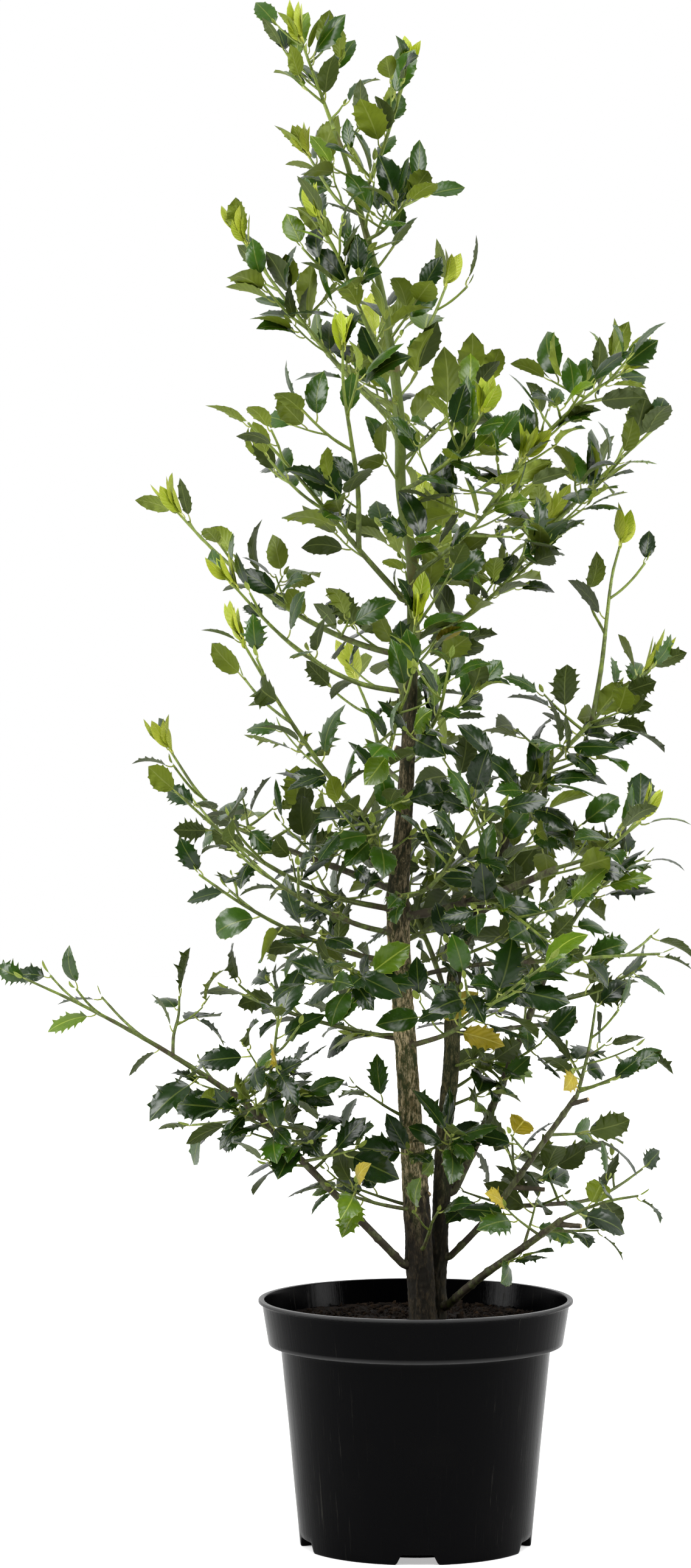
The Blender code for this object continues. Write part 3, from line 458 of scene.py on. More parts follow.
SHOOT_THICK_SHARE = 0.45
SHOOT_OLD_RADIUS = 0.0016
SHOOT_ROOT_SHARE = 0.35

# Short stubs where shoots were cut or broke off.
Stub = namedtuple("Stub", "carrier share heading reach rise radius")
STUBS = (
    Stub("trunk", 0.475, -168, 0.013, 0.006, 0.0030),
    Stub("trunk", 0.100, -35, 0.016, 0.010, 0.0026),
    Stub("right_stem", 0.790, 10, 0.016, 0.008, 0.0028),
    Stub("low_right_bough", 0.470, -5, 0.034, -0.002, 0.0024),
    Stub("low_right_bough", 0.960, -30, 0.020, 0.006, 0.0022),
    Stub("foot_bough", 0.950, -35, 0.030, 0.000, 0.0026),
    Stub("right_bough", 0.900, -60, 0.018, 0.010, 0.0022),
    Stub("low_left_bough", 0.330, -110, 0.014, 0.008, 0.0022),
    Stub("wide_bough", 0.350, -80, 0.012, 0.008, 0.0020),
)

# Places of yellowed leaves, in metres across and up seen from the front, the leaves' tiers, and
# how likely a leaf is to be fresh, deep or olive: a share, and what height or its lack adds.
YELLOWED = ((0.030, 0.918), (0.040, 0.555), (0.053, 0.509), (0.128, 0.454), (0.137, 0.414),
            (-0.052, 0.395), (0.075, 0.358), (-0.135, 0.500))
LEAF_TIERS = (("low_leaves", 0.0, 0.62), ("middle_leaves", 0.62, 0.95), ("high_leaves", 0.95, 2.0))
FRESH_MASSES = ("foot_front_spray", "foot_left_spray")
FRESH_IN_MASSES = 0.6
FRESH_SHARE = (0.05, 0.07)
DEEP_SHARE = (0.35, 0.35)
OLIVE_SHARE = (0.25, 0.55)
LEAF_MIDDLE = 0.55
HELD_BACK = 0.5
HELD_BACK_FROM = -0.06

# The pot: metres from its axis and from the ground.
LIP_RADIUS = 0.160
BAND_TOP_RADIUS = 0.1562
BAND_FOOT_RADIUS = 0.1495
BAND_FOOT_HEIGHT = 0.2045
BODY_TOP_RADIUS = 0.1372
BASE_RADIUS = 0.1178
WALL = 0.0022
FLOOR = 0.0026
STEP_SLOPE = 0.0018
CHANNELS = 5
CHANNEL_FOOT_WIDTH = 0.042
CHANNEL_TOP_WIDTH = 0.032
CHANNEL_HEIGHT = 0.010
CHANNEL_INNER_END = 0.078
CHANNEL_END_SLOPE = 0.002
CHANNEL_FADE = 1.6
DRAIN_RADIUS = 0.005
DRAIN_PLACE = 0.098
POT_COLUMNS = 360
POT_STEP = 0.0032
HUB_RADIUS = 0.012
LIP_UNDERSIDE = 0.0046
LIP_EDGE = 0.0030
DRAIN_BLIND = 0.9
POT_WOBBLE = 0.0006
WOBBLE_LENGTH = 0.06
WOBBLE_FROM = 0.02
MEAN_RADIUS = 0.14
# The widths of the pale lines at the lip and the band's foot, painted as wear and as highlight.
LIP_WEAR_AND_HIGHLIGHT = 0.0025
BAND_WEAR_AND_HIGHLIGHT = 0.0016
COMPOST_COLUMNS = 220
COMPOST_STEP = 0.0022
LUMP_HEIGHTS = (0.006, 0.004)
LUMP_LENGTHS = (0.011, 0.05)
CRUMB_REACH = 0.143
CRUMB_RISE = 0.0012
LUMP_CORNERS = 12

# Colours, as a screen shows them. A sheet is one face of a leaf and has its two greens, its rib
# and margin, its roughness, how deep its quilting is in metres, and how strong its veins are.
Sheet = namedtuple("Sheet", "name dark light rib margin roughness quilt vein_share")
GROWN_SHEETS = (
    Sheet("leaf_top_deep", (14, 34, 4), (27, 54, 7), (84, 98, 38), (118, 126, 54),
          0.19, 0.00006, 0.03),
    Sheet("leaf_top_mid", (30, 56, 5), (52, 86, 10), (100, 114, 44), (126, 136, 58),
          0.21, 0.00006, 0.04),
    Sheet("leaf_top_fresh", (66, 94, 8), (98, 125, 16), (150, 166, 62), (156, 170, 66),
          0.25, 0.00008, 0.08),
    Sheet("leaf_under_olive", (52, 66, 10), (72, 88, 17), (112, 124, 56), (112, 122, 54),
          0.50, 0.00016, 0.12),
    Sheet("leaf_under_pale", (90, 106, 12), (120, 136, 22), (140, 152, 68), (128, 140, 58),
          0.48, 0.00016, 0.12),
    Sheet("leaf_yellow", (128, 116, 14), (180, 160, 24), (196, 184, 84), (150, 146, 60),
          0.40, 0.00030, 0.20),
    Sheet("leaf_stalk", (144, 154, 66), (166, 172, 84), (150, 160, 76), (150, 160, 76),
          0.45, 0.0, 0.0),
)
TOP_DEEP, TOP_MID, TOP_FRESH, UNDER_OLIVE, UNDER_PALE, YELLOW, STALK = range(7)
YOUNG_SHEETS = (
    Sheet("young_top", (130, 154, 22), (178, 190, 44), (202, 208, 92), (192, 196, 70),
          0.30, 0.0002, 0.2),
    Sheet("young_under", (148, 166, 34), (186, 194, 62), (206, 210, 104), (192, 196, 70),
          0.42, 0.0002, 0.2),
    Sheet("bud_scale", (124, 146, 46), (154, 168, 66), (150, 160, 76), (150, 160, 76),
          0.45, 0.0003, 0.1),
)
YOUNG_TOP, YOUNG_UNDER, BUD_SCALE = range(3)

# A bark turns green from one height and has its pale ring at another. The dark stem ends below
# both of its own, so it has neither.
Bark = namedtuple("Bark", "name crack skin flake foot_dark foot_light green green_from knot")
TRUNK_BARK = Bark("trunk_bark", (46, 56, 22), (110, 98, 64), (188, 170, 132), (26, 22, 13),
                  (66, 56, 38), (82, 98, 30), 0.86, KNOT_HEIGHT)
DARK_BARK = Bark("dark_bark", (36, 42, 18), (64, 66, 38), (104, 98, 66), (30, 27, 16),
                 (60, 53, 36), (46, 50, 30), 2.0, 3.0)
DARK_FOOT_UP_TO = (0.33, 0.40)
# Heights from which painted shade darkens the bark towards its foot colours, under the leaves.
PAINTED_SHADE_FROM = (0.57, 0.64)
GREEN_FADE = 0.10

# The skin of boughs and shoots, from old to young, and how patchy its age is.
Skin = namedtuple("Skin", "name old middle young patchy")
SHOOT_BARK = Skin("shoot_bark", (70, 62, 40), (84, 98, 36), (118, 136, 46), 0.24)
BOUGH_BARK = Skin("bough_bark", (60, 52, 36), (80, 84, 46), (104, 112, 58), 0.36)
CUT_WOOD = Skin("cut_wood", (62, 56, 38), (96, 82, 56), (172, 146, 104), 0.16)

# The pot's plastic and its dust, and the dark and light of its fill.
# Its dry runs are paler at its sides as painted reflection, and its edges pale with wear and painted
# highlight.
POT_BLACK = (3, 3, 4)
POT_DUST = (10, 9, 9)
POT_RUNS_AND_SHEEN = (54, 53, 48)
POT_WEAR_AND_HIGHLIGHT = (84, 84, 84)
COMPOST_BROWNS = ((16, 11, 7), (46, 33, 22))
BARK_BIT_BROWNS = ((30, 22, 15), (66, 50, 35))

Twig = namedtuple("Twig", "name parent path radii")
Leaf = namedtuple("Leaf", "twig kind rank foot ahead way length roll")


def unit(vectors):
    """Vectors brought to length one."""
    return vectors / np.linalg.norm(vectors, axis=-1, keepdims=True)


def curve_through(rows, counts):
    """A Catmull-Rom curve through rows, with a count of steps between each two."""
    rows = np.asarray(rows, float)
    ends = np.vstack([2 * rows[0] - rows[1], rows, 2 * rows[-1] - rows[-2]])
    parts = []
    for i, count in enumerate(counts):
        a, b, c, d = ends[i:i + 4]
        t = (np.arange(count) / count)[:, None]
        parts.append(0.5 * (2 * b + (c - a) * t + (2 * a - 5 * b + 4 * c - d) * t ** 2
                            + (3 * b - a - 3 * c + d) * t ** 3))
    return np.vstack(parts + [rows[-1:]])


def stem_path(line, step):
    """Centre points and radii of a stem in the coarse steps that its shoots are placed by."""
    counts = [max(1, round(abs(b[0] - a[0]) / step)) for a, b in zip(line, line[1:])]
    rows = curve_through(line, counts)
    path = rows[:, [1, 2, 0]]
    path[1, :2] = path[0, :2]
    return path, rows[:, 3]


def run_of(path):
    """The length run up to each point of a path."""
    return np.concatenate([[0.0], np.cumsum(np.linalg.norm(np.diff(path, axis=0), axis=1))])


def along(path, radii, share):
    """The point, direction and radius at a share of a path's length."""
    run = run_of(path)
    left = share * run[-1]
    i = min(int(np.searchsorted(run[1:], left)), len(path) - 2)
    t = min((left - run[i]) / (run[i + 1] - run[i]), 1.0)
    point = path[i] * (1 - t) + path[i + 1] * t
    return point, unit(path[i + 1] - path[i]), float(radii[i] * (1 - t) + radii[i + 1] * t)


def sweep(foot, heading, reach, rise, bow, step, rng):
    """A limb's centre line: a quadratic curve out and up, with one sine of wander sideways."""
    turn = math.radians(heading)
    out = np.array((math.cos(turn), math.sin(turn), 0.0))
    end = out * reach + UP * rise
    bend = out * (reach * 0.5) + UP * (rise * bow)
    size = float(np.linalg.norm(end))
    swing = rng.uniform(-1.0, 1.0) * WANDER * size
    t = np.linspace(0.0, 1.0, max(3, round(size / step)) + 1)[:, None]
    aside = np.cross(UP, out) * (swing * np.sin(2 * np.pi * t))
    return foot + bend * (2 * t * (1 - t)) + end * t ** 2 + aside


def limb_path(carrier, share, shape, step, rng, radius=None):
    """A limb's path: from its carrier's middle, or with a radius from just clear of its side."""
    point, ahead, carrier_radius = along(*carrier, share)
    if radius is None:
        return sweep(point, *shape, step, rng)
    if share >= 1.0:
        start = point + ahead * GAP
        elbow = start + ahead * radius
    else:
        turn = math.radians(shape[0])
        out = np.array((math.cos(turn), math.sin(turn), shape[2] / shape[1]))
        out = unit(out - ahead * np.dot(out, ahead))
        start = point + out * (carrier_radius + SEAT_GAP)
        elbow = start + out * radius
    return np.vstack([start, sweep(elbow, *shape, step, rng)])


def taper(path, foot_radius, tip_radius):
    """Radii that narrow evenly along a path."""
    run = run_of(path)
    return foot_radius + (tip_radius - foot_radius) * run / run[-1]


def heading_of(ahead):
    """The heading of a direction."""
    return math.degrees(math.atan2(ahead[1], ahead[0]))


def shape_of(limb):
    """The heading, reach, rise and bow of a limb."""
    return limb.heading, limb.reach, limb.rise, limb.bow


def how_low(height):
    """From 0 in the upper crown to 1 in the lower, where leaves droop and are spinier."""
    return np.clip((LOW_CROWN[0] - height) / (LOW_CROWN[0] - LOW_CROWN[1]), 0.0, 1.0)


def leaf_way(ahead, turn, lift):
    """The direction of a leaf: lifted off its twig to one side, and leaning to the light."""
    side = np.array(Vector(ahead).orthogonal().normalized())
    side = side * math.cos(turn) + np.cross(ahead, side) * math.sin(turn)
    way = ahead * math.cos(lift) + side * math.sin(lift) + UP * LEAF_LIGHT
    if way[2] < 0.0:
        way[2] *= LEAF_DROOP
    return unit(way)


def leaves_on(twig, leafy, lush, rng, spacing=LEAF_SPACING):
    """The leaves of one twig: the solids' own, more between them, and young ones at its tip."""
    count = max(1, round(run_of(twig.path)[-1] * (1.0 - leafy) / spacing))
    turn = rng.uniform(0.0, 2 * math.pi)
    extra = random.Random(twig.name + " between")
    bare_from = BARE_BEYOND.get(twig.name, 1.0)
    leaves = []

    def add_leaf(kind, rank, share, turn, lift, length, roll):
        foot, ahead, _ = along(twig.path, twig.radii, share)
        way = leaf_way(ahead, turn, math.radians(lift))
        if kind == "grown":
            length *= extra.uniform(*LIFE_SIZE)
            way = unit(way - UP * LOW_DROOP * extra.random() * how_low(foot[2]))
        elif kind == "lush":
            way = unit(way + UP * FLUSH_CLIMB)
        leaves.append(Leaf(twig.name, kind, rank, foot, ahead, way, length, roll))

    for rank in range(count):
        share = LEAF_LAST - (1.0 - leafy) * rank / count
        turn += GOLDEN_ANGLE + rng.uniform(-LEAF_TURN, LEAF_TURN)
        lift = rng.uniform(*LEAF_LIFT)
        length = rng.uniform(*LEAF_LENGTH)
        if rank == 0:
            lift *= TIP_LEAF_LIFT
            length *= TIP_LEAF_LENGTH
        roll = rng.uniform(-LEAF_ROLL, LEAF_ROLL)
        if rank % THINNED_RANKS and share > bare_from:
            continue
        add_leaf("grown", rank, share, turn, lift, length, roll)
        if extra.random() < BETWEEN_SHARE and share < bare_from:
            opposite = turn + math.pi + extra.uniform(-BETWEEN_TURN, BETWEEN_TURN)
            add_leaf("grown", rank + count, share - 0.5 * (1.0 - leafy) / count, opposite,
                     extra.uniform(*LEAF_LIFT), extra.uniform(*LEAF_LENGTH),
                     extra.uniform(-LEAF_ROLL, LEAF_ROLL))
    for i in range(LUSH_LEAVES if lush else 0):
        turn += GOLDEN_ANGLE
        lift = rng.uniform(*LUSH_LIFT)
        add_leaf("lush", i, LUSH_FIRST - LUSH_STEP * i, turn, lift, rng.uniform(*LUSH_LENGTH), 0.0)
    for i in range(FLUSH_LEAVES if lush else 0):
        add_leaf("lush", i, 1.0 - FLUSH_STEP * i, turn + (i + 0.5) * GOLDEN_ANGLE,
                 extra.uniform(*FLUSH_LIFT), extra.uniform(*FLUSH_LENGTH), 0.0)
    add_leaf("bud", 0, 1.0, turn, extra.uniform(*BUD_LIFT), extra.uniform(*BUD_LENGTH), 0.0)
    return leaves


def side_twigs(stem, rng):
    """Seeded twigs: on alternate sides of a shoot, shorter towards its tip."""
    total = run_of(stem.path)[-1]
    count = int(total / TWIG_EVERY) if total > TWIG_FROM_LENGTH else 0
    side = rng.choice((-1, 1))
    twigs = []
    for i in range(count):
        share = TWIG_FIRST + (TWIG_LAST - TWIG_FIRST) * (i + rng.uniform(*TWIG_PLACE)) / count
        foot, ahead, radius = along(stem.path, stem.radii, share)
        heading = heading_of(ahead) + side * rng.uniform(*TWIG_ANGLE)
        length = TWIG_LENGTH + (1.0 - share) * total * rng.uniform(*TWIG_REACH)
        climb = max(ahead[2], 0.0) * TWIG_FOLLOW + rng.uniform(*TWIG_CLIMB)
        reach = length / math.sqrt(1.0 + climb ** 2)
        line = sweep(foot, heading, reach, reach * climb, TWIG_BOW, SHOOT_STEP, rng)
        radii = taper(line, radius * TWIG_SLIMNESS, SHOOT_TIP_RADIUS)
        twigs.append(Twig(f"{stem.name}_{i + 1}", stem.name, line, radii))
        side = -side
    return twigs


def fine_twigs(twig):
    """The same rule carried one step finer: short spurs along a twig."""
    rng = random.Random(twig.name + " spurs")
    stretch = FINE_TWIG_LAST - FINE_TWIG_FIRST
    count = int(run_of(twig.path)[-1] * stretch / FINE_TWIG_EVERY)
    spurs = []
    for i in range(count):
        share = FINE_TWIG_FIRST + stretch * (i + rng.uniform(*FINE_TWIG_PLACE)) / count
        foot, ahead, radius = along(twig.path, twig.radii, share)
        side = 1 if i % 2 else -1
        heading = heading_of(ahead) + side * rng.uniform(*FINE_TWIG_ANGLE)
        reach = rng.uniform(*FINE_TWIG_LENGTH) * (FINE_TWIG_AT_FOOT - FINE_TWIG_SHORTENING * share)
        if share > BARE_BEYOND.get(twig.name, 1.0):
            continue
        climb = max(ahead[2], 0.0) * TWIG_FOLLOW + rng.uniform(*FINE_TWIG_CLIMB)
        line = sweep(foot, heading, reach, reach * climb, TWIG_BOW, FINE_TWIG_STEP, rng)
        foot_radius = min(radius * TWIG_SLIMNESS, FINE_TWIG_FOOT_RADIUS)
        radii = taper(line, foot_radius, FINE_TWIG_TIP_RADIUS)
        spurs.append(Twig(f"{twig.name}_spur_{i + 1}", twig.name, line, radii))
    return spurs


def tufts(paths):
    """The short leafy shoots that stand straight on stems and boughs."""
    grown = []
    for number, tuft in enumerate(TUFTS):
        rng = random.Random(f"tuft {number}")
        heading = rng.uniform(0.0, 360.0) if tuft.heading is None else tuft.heading
        for i in range(tuft.count):
            place = (i + rng.uniform(*FINE_TWIG_PLACE)) / tuft.count
            share = tuft.first + (tuft.last - tuft.first) * place
            reach = rng.uniform(*tuft.reach)
            if tuft.heading is None:
                turn = heading + i * GOLDEN_DEGREES
            else:
                turn = heading + rng.uniform(-TUFT_SWING, TUFT_SWING)
            shape = (turn, reach, reach * rng.uniform(*tuft.climb), TUFT_BOW)
            path = limb_path(paths[tuft.carrier], share, shape, FINE_TWIG_STEP, rng)
            radii = taper(path, TUFT_FOOT_RADIUS + TUFT_SWELL * reach, TUFT_TIP_RADIUS)
            grown.append(Twig(f"{tuft.carrier}_tuft_{number}_{i}", "", path, radii))
    return grown


def fine_leaves(twig):
    """The leaves of a spur or tuft, which stand closer than the solids' leaves."""
    return leaves_on(twig, TWIG_LEAFY, False, random.Random(twig.name), FINE_LEAF_SPACING)


def shoot_radius(shoot):
    """The radius of a shoot's foot, which grows with its length."""
    return SHOOT_FOOT_RADIUS + SHOOT_SWELL * math.hypot(shoot.reach, shoot.rise)


def inside(twig):
    """Whether a fine twig's tip keeps within the reach of the solids."""
    tip = twig.path[-1]
    return bool(np.all(tip > REACH_LOW) and np.all(tip < REACH_HIGH))


def grow():
    """Every limb, twig and leaf, as paths and frames."""
    limbs = {
        "trunk": stem_path(TRUNK_LINE, STEM_STEP),
        "right_stem": stem_path(RIGHT_STEM_LINE, STEM_STEP),
    }
    for bough in BOUGHS:
        rng = random.Random(bough.name)
        path = limb_path(limbs[bough.carrier], bough.share, shape_of(bough), BOUGH_STEP, rng,
                         bough.radius)
        limbs[bough.name] = (path, taper(path, bough.radius, bough.tip_radius))
    paths = dict(limbs)
    twigs, leaves = [], []
    for shoot in SHOOTS:
        rng = random.Random(shoot.name)
        radius = shoot_radius(shoot)
        path = limb_path(paths[shoot.carrier], shoot.share, shape_of(shoot), SHOOT_STEP, rng,
                         radius if shoot.carrier in limbs else None)
        paths[shoot.name] = (path, taper(path, radius, SHOOT_TIP_RADIUS))
        stem = Twig(shoot.name, shoot.carrier, *paths[shoot.name])
        family = [stem]
        leaves += leaves_on(stem, shoot.leafy, shoot.lush, rng)
        for twig in side_twigs(stem, rng):
            family.append(twig)
            leaves += leaves_on(twig, TWIG_LEAFY, False, rng)
        for twig in list(family):
            for spur in filter(inside, fine_twigs(twig)):
                family.append(spur)
                leaves += fine_leaves(spur)
        twigs += family
    for twig in filter(inside, tufts(paths)):
        twigs.append(twig)
        leaves += fine_leaves(twig)
    return limbs, twigs, leaves


# Surfaces as whole arrays.
HASH_FACTORS = (73856093, 19349663, 83492791)
HASH_SEED_FACTOR = 2971215073
HASH_MIX = 1274126177


def noise(points, seed):
    """Smooth noise from 0 to 1: hashed values at the corners of a unit lattice, blended."""
    cell = np.floor(points).astype(np.int64)
    part = points - cell
    part = part * part * (3.0 - 2.0 * part)
    total = np.zeros(points.shape[:-1])
    for corner in itertools.product((0, 1), repeat=3):
        at = cell + np.array(corner)
        keys = at * np.array(HASH_FACTORS)
        mixed = keys[..., 0] ^ keys[..., 1] ^ keys[..., 2] ^ seed * HASH_SEED_FACTOR
        mixed = (mixed ^ (mixed >> 13)) * HASH_MIX
        value = ((mixed ^ (mixed >> 16)) & 0xFFFF) / 65535.0
        total += value * np.prod(np.where(np.array(corner) == 1, part, 1.0 - part), axis=-1)
    return total


def bump_noise(points, seed, octaves=3):
    """Noise about zero: octaves of half the size and half the height each."""
    return sum((noise(points * 2 ** k, seed + k) - 0.5) / 2 ** k for k in range(octaves))


def stacked(*parts):
    """Arrays brought to one shape, as the coordinates of points."""
    return np.stack(np.broadcast_arrays(*parts), -1)


def grid_faces(rows, columns, first):
    """Four-cornered faces of a grid that closes round its columns, facing outwards."""
    i, j = np.meshgrid(np.arange(rows - 1), np.arange(columns), indexing="ij")
    after = (j + 1) % columns
    quads = np.stack([i * columns + j, i * columns + after,
                      (i + 1) * columns + after, (i + 1) * columns + j], axis=-1)
    return quads.reshape(-1, 4) + first


def pole_faces(rows, columns, first):
    """Triangles that close the first and last ring on two poles, which follow the grid."""
    j = np.arange(columns)
    after = (j + 1) % columns
    low = np.full(columns, rows * columns)
    last = (rows - 1) * columns
    bottom = np.stack([low, after, j], axis=-1)
    top = np.stack([low + 1, last + j, last + after], axis=-1)
    return np.vstack([bottom, top]) + first


class Bunch:
    """Surfaces gathered into one mesh, with a value for each point."""

    def __init__(self):
        self.points, self.quads, self.triangles, self.values = [], [], [], []
        self.count = 0

    def add(self, rings, poles, values):
        """Take in a tube: its rings as a grid of points, its two poles, and the points' values."""
        rows, columns = rings.shape[:2]
        self.quads.append(grid_faces(rows, columns, self.count))
        self.triangles.append(pole_faces(rows, columns, self.count))
        self.points += [rings.reshape(-1, 3), np.asarray(poles)]
        self.values += [np.broadcast_to(values, (rows, columns)).ravel(), np.zeros(2)]
        self.count += rows * columns + 2

    def piece(self, name, finishes, value_name, **more):
        """The gathered surfaces as one object."""
        faces = [np.vstack(self.quads), np.vstack(self.triangles)]
        values = {value_name: np.concatenate(self.values)}
        make_piece(name, np.vstack(self.points), faces, finishes, values, **more)


def make_piece(name, points, faces, finishes, values, nodes=(), slot="foliage", uv=None,
               face_finish=None, crease=None):
    """An object from whole arrays: points, their values, and blocks of faces, by corner count."""
    mesh = bpy.data.meshes.new(name)
    corners = np.concatenate([block.ravel() for block in faces]).astype(np.int32)
    sizes = np.concatenate([np.full(len(block), block.shape[1]) for block in faces])
    mesh.vertices.add(len(points))
    mesh.vertices.foreach_set("co", points.astype(np.float32).ravel())
    mesh.loops.add(len(corners))
    mesh.loops.foreach_set("vertex_index", corners)
    mesh.polygons.add(len(sizes))
    starts = np.concatenate([[0], np.cumsum(sizes)[:-1]])
    mesh.polygons.foreach_set("loop_start", starts.astype(np.int32))
    for finish in finishes:
        mesh.materials.append(finish)
    if face_finish is not None:
        mesh.polygons.foreach_set("material_index", face_finish.astype(np.int32))
    mesh.update(calc_edges=True)
    if uv is not None:
        layer = mesh.uv_layers.new(name="figure")
        layer.data.foreach_set("uv", uv[corners].astype(np.float32).ravel())
    for title, numbers in values.items():
        layer = mesh.attributes.new(title, "FLOAT", "POINT")
        layer.data.foreach_set("value", numbers.astype(np.float32))
    mesh.shade_smooth()
    if crease:
        mesh.set_sharp_from_angle(angle=math.radians(crease))
    made = bpy.data.objects.new(name, mesh)
    bpy.context.scene.collection.objects.link(made)
    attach(made, "root")
    if nodes:
        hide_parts(*nodes)


def tube(path, radii, sides, relief=0.0):
    """A round tube: P(s, a) = C(s) + (r(s) + relief(s, a)) (N cos a + B sin a), and its poles.

    N is one direction square to the whole path, brought square to each tangent, and B is the
    tangent crossed with N.
    """
    tangent = unit(np.gradient(path, axis=0))
    aside = np.array(Vector(path[-1] - path[0]).orthogonal().normalized())
    normal = unit(aside - tangent * (tangent @ aside)[:, None])
    binormal = np.cross(tangent, normal)
    turn = 2 * np.pi * np.arange(sides) / sides
    spoke = normal[:, None] * np.cos(turn)[:, None] + binormal[:, None] * np.sin(turn)[:, None]
    size = np.asarray(radii)[:, None] + relief
    rings = path[:, None] + spoke * np.broadcast_to(size, (len(path), sides))[..., None]
    rise = np.array([-CAP_RISE, CAP_RISE])[:, None]
    cap = rise * tangent[[0, -1]] * np.asarray(radii)[[0, -1], None]
    return rings, path[[0, -1]] + cap


def finer(path, radii, step):
    """A path and its radii redrawn as a smooth curve in small steps."""
    rows = np.column_stack([path, radii])
    counts = np.maximum(1, np.round(np.diff(run_of(path)) / step)).astype(int)
    fine = curve_through(rows, counts)
    return fine[:, :3], fine[:, 3]


# Leaves, and the kinds of point that a blade has.
ENDS, SPINE, STEP, BULGE, RIB, MIDDLE, UNDER_RIB = range(7)


def leaf_layout():
    """One blade as shares along and across it, and its faces, by sheet.

    A blade has a base, a tip, an upper midrib with a middle row each side of it, and an under
    midrib. Down each side runs a margin that both sheets share: for each spine its point, the
    step back behind it, and the bulge before the next. The points are numbered in that order:
    0 is the base, 1 the tip, then come both margins, the rib, the middle rows and the under rib.
    """
    spines = FIRST_SPINE + SPINE_SPACING * np.arange(BLADE_SPINES)
    marks = np.stack([spines, spines + SPINE_TO_STEP, spines + SPINE_TO_BULGE], axis=1)
    margin = np.concatenate([[MARGIN_START], marks.ravel()])
    part = np.concatenate([[BULGE], np.tile([SPINE, STEP, BULGE], BLADE_SPINES)])
    per_side = len(margin)
    u = np.concatenate([[0.0, 1.0], margin, margin, spines, spines, spines, spines])
    v = np.concatenate([[0.0, 0.0], np.ones(per_side), -np.ones(per_side), np.zeros(BLADE_SPINES),
                        np.full(BLADE_SPINES, 0.5), np.full(BLADE_SPINES, -0.5),
                        np.zeros(BLADE_SPINES)])
    kind = np.concatenate([[ENDS, ENDS], part, part, np.full(BLADE_SPINES, RIB),
                           np.full(2 * BLADE_SPINES, MIDDLE), np.full(BLADE_SPINES, UNDER_RIB)])
    rib = 2 + 2 * per_side
    under = rib + 3 * BLADE_SPINES
    gaps = BLADE_SPINES - 1
    upper_faces, under_faces = [], []
    for side in (0, 1):
        edge = 2 + side * per_side
        row = rib + (1 + side) * BLADE_SPINES
        last = edge + per_side - 3
        half = [(0, row, rib), (rib + gaps, row + gaps, 1), (0, edge, row), (row, edge, edge + 1),
                (row + gaps, last, last + 1), (row + gaps, last + 1, last + 2, 1)]
        below = [(0, edge, edge + 1, under), (under + gaps, last, last + 1),
                 (under + gaps, last + 1, last + 2, 1)]
        for k in range(gaps):
            spine = edge + 3 * k + 1
            half += [(rib + k, row + k, row + k + 1, rib + k + 1), (row + k, spine, spine + 1),
                     (row + k, spine + 1, spine + 2, row + k + 1), (row + k + 1, spine + 2, spine + 3)]
            below += [(under + k, spine, spine + 1), (under + k, spine + 1, spine + 2, under + k + 1),
                      (under + k + 1, spine + 2, spine + 3)]
        upper_faces += [face[::-1] if side else face for face in half]
        under_faces += [face if side else face[::-1] for face in below]
    return u, v, kind, upper_faces, under_faces


def blade_width(u):
    """Half the width at a share u: (4u (1 - u)) ^ 0.7, fuller at the base, about 1 at its widest."""
    return (4.0 * u * (1.0 - u)) ** 0.70 * (1.09 - 0.20 * u)


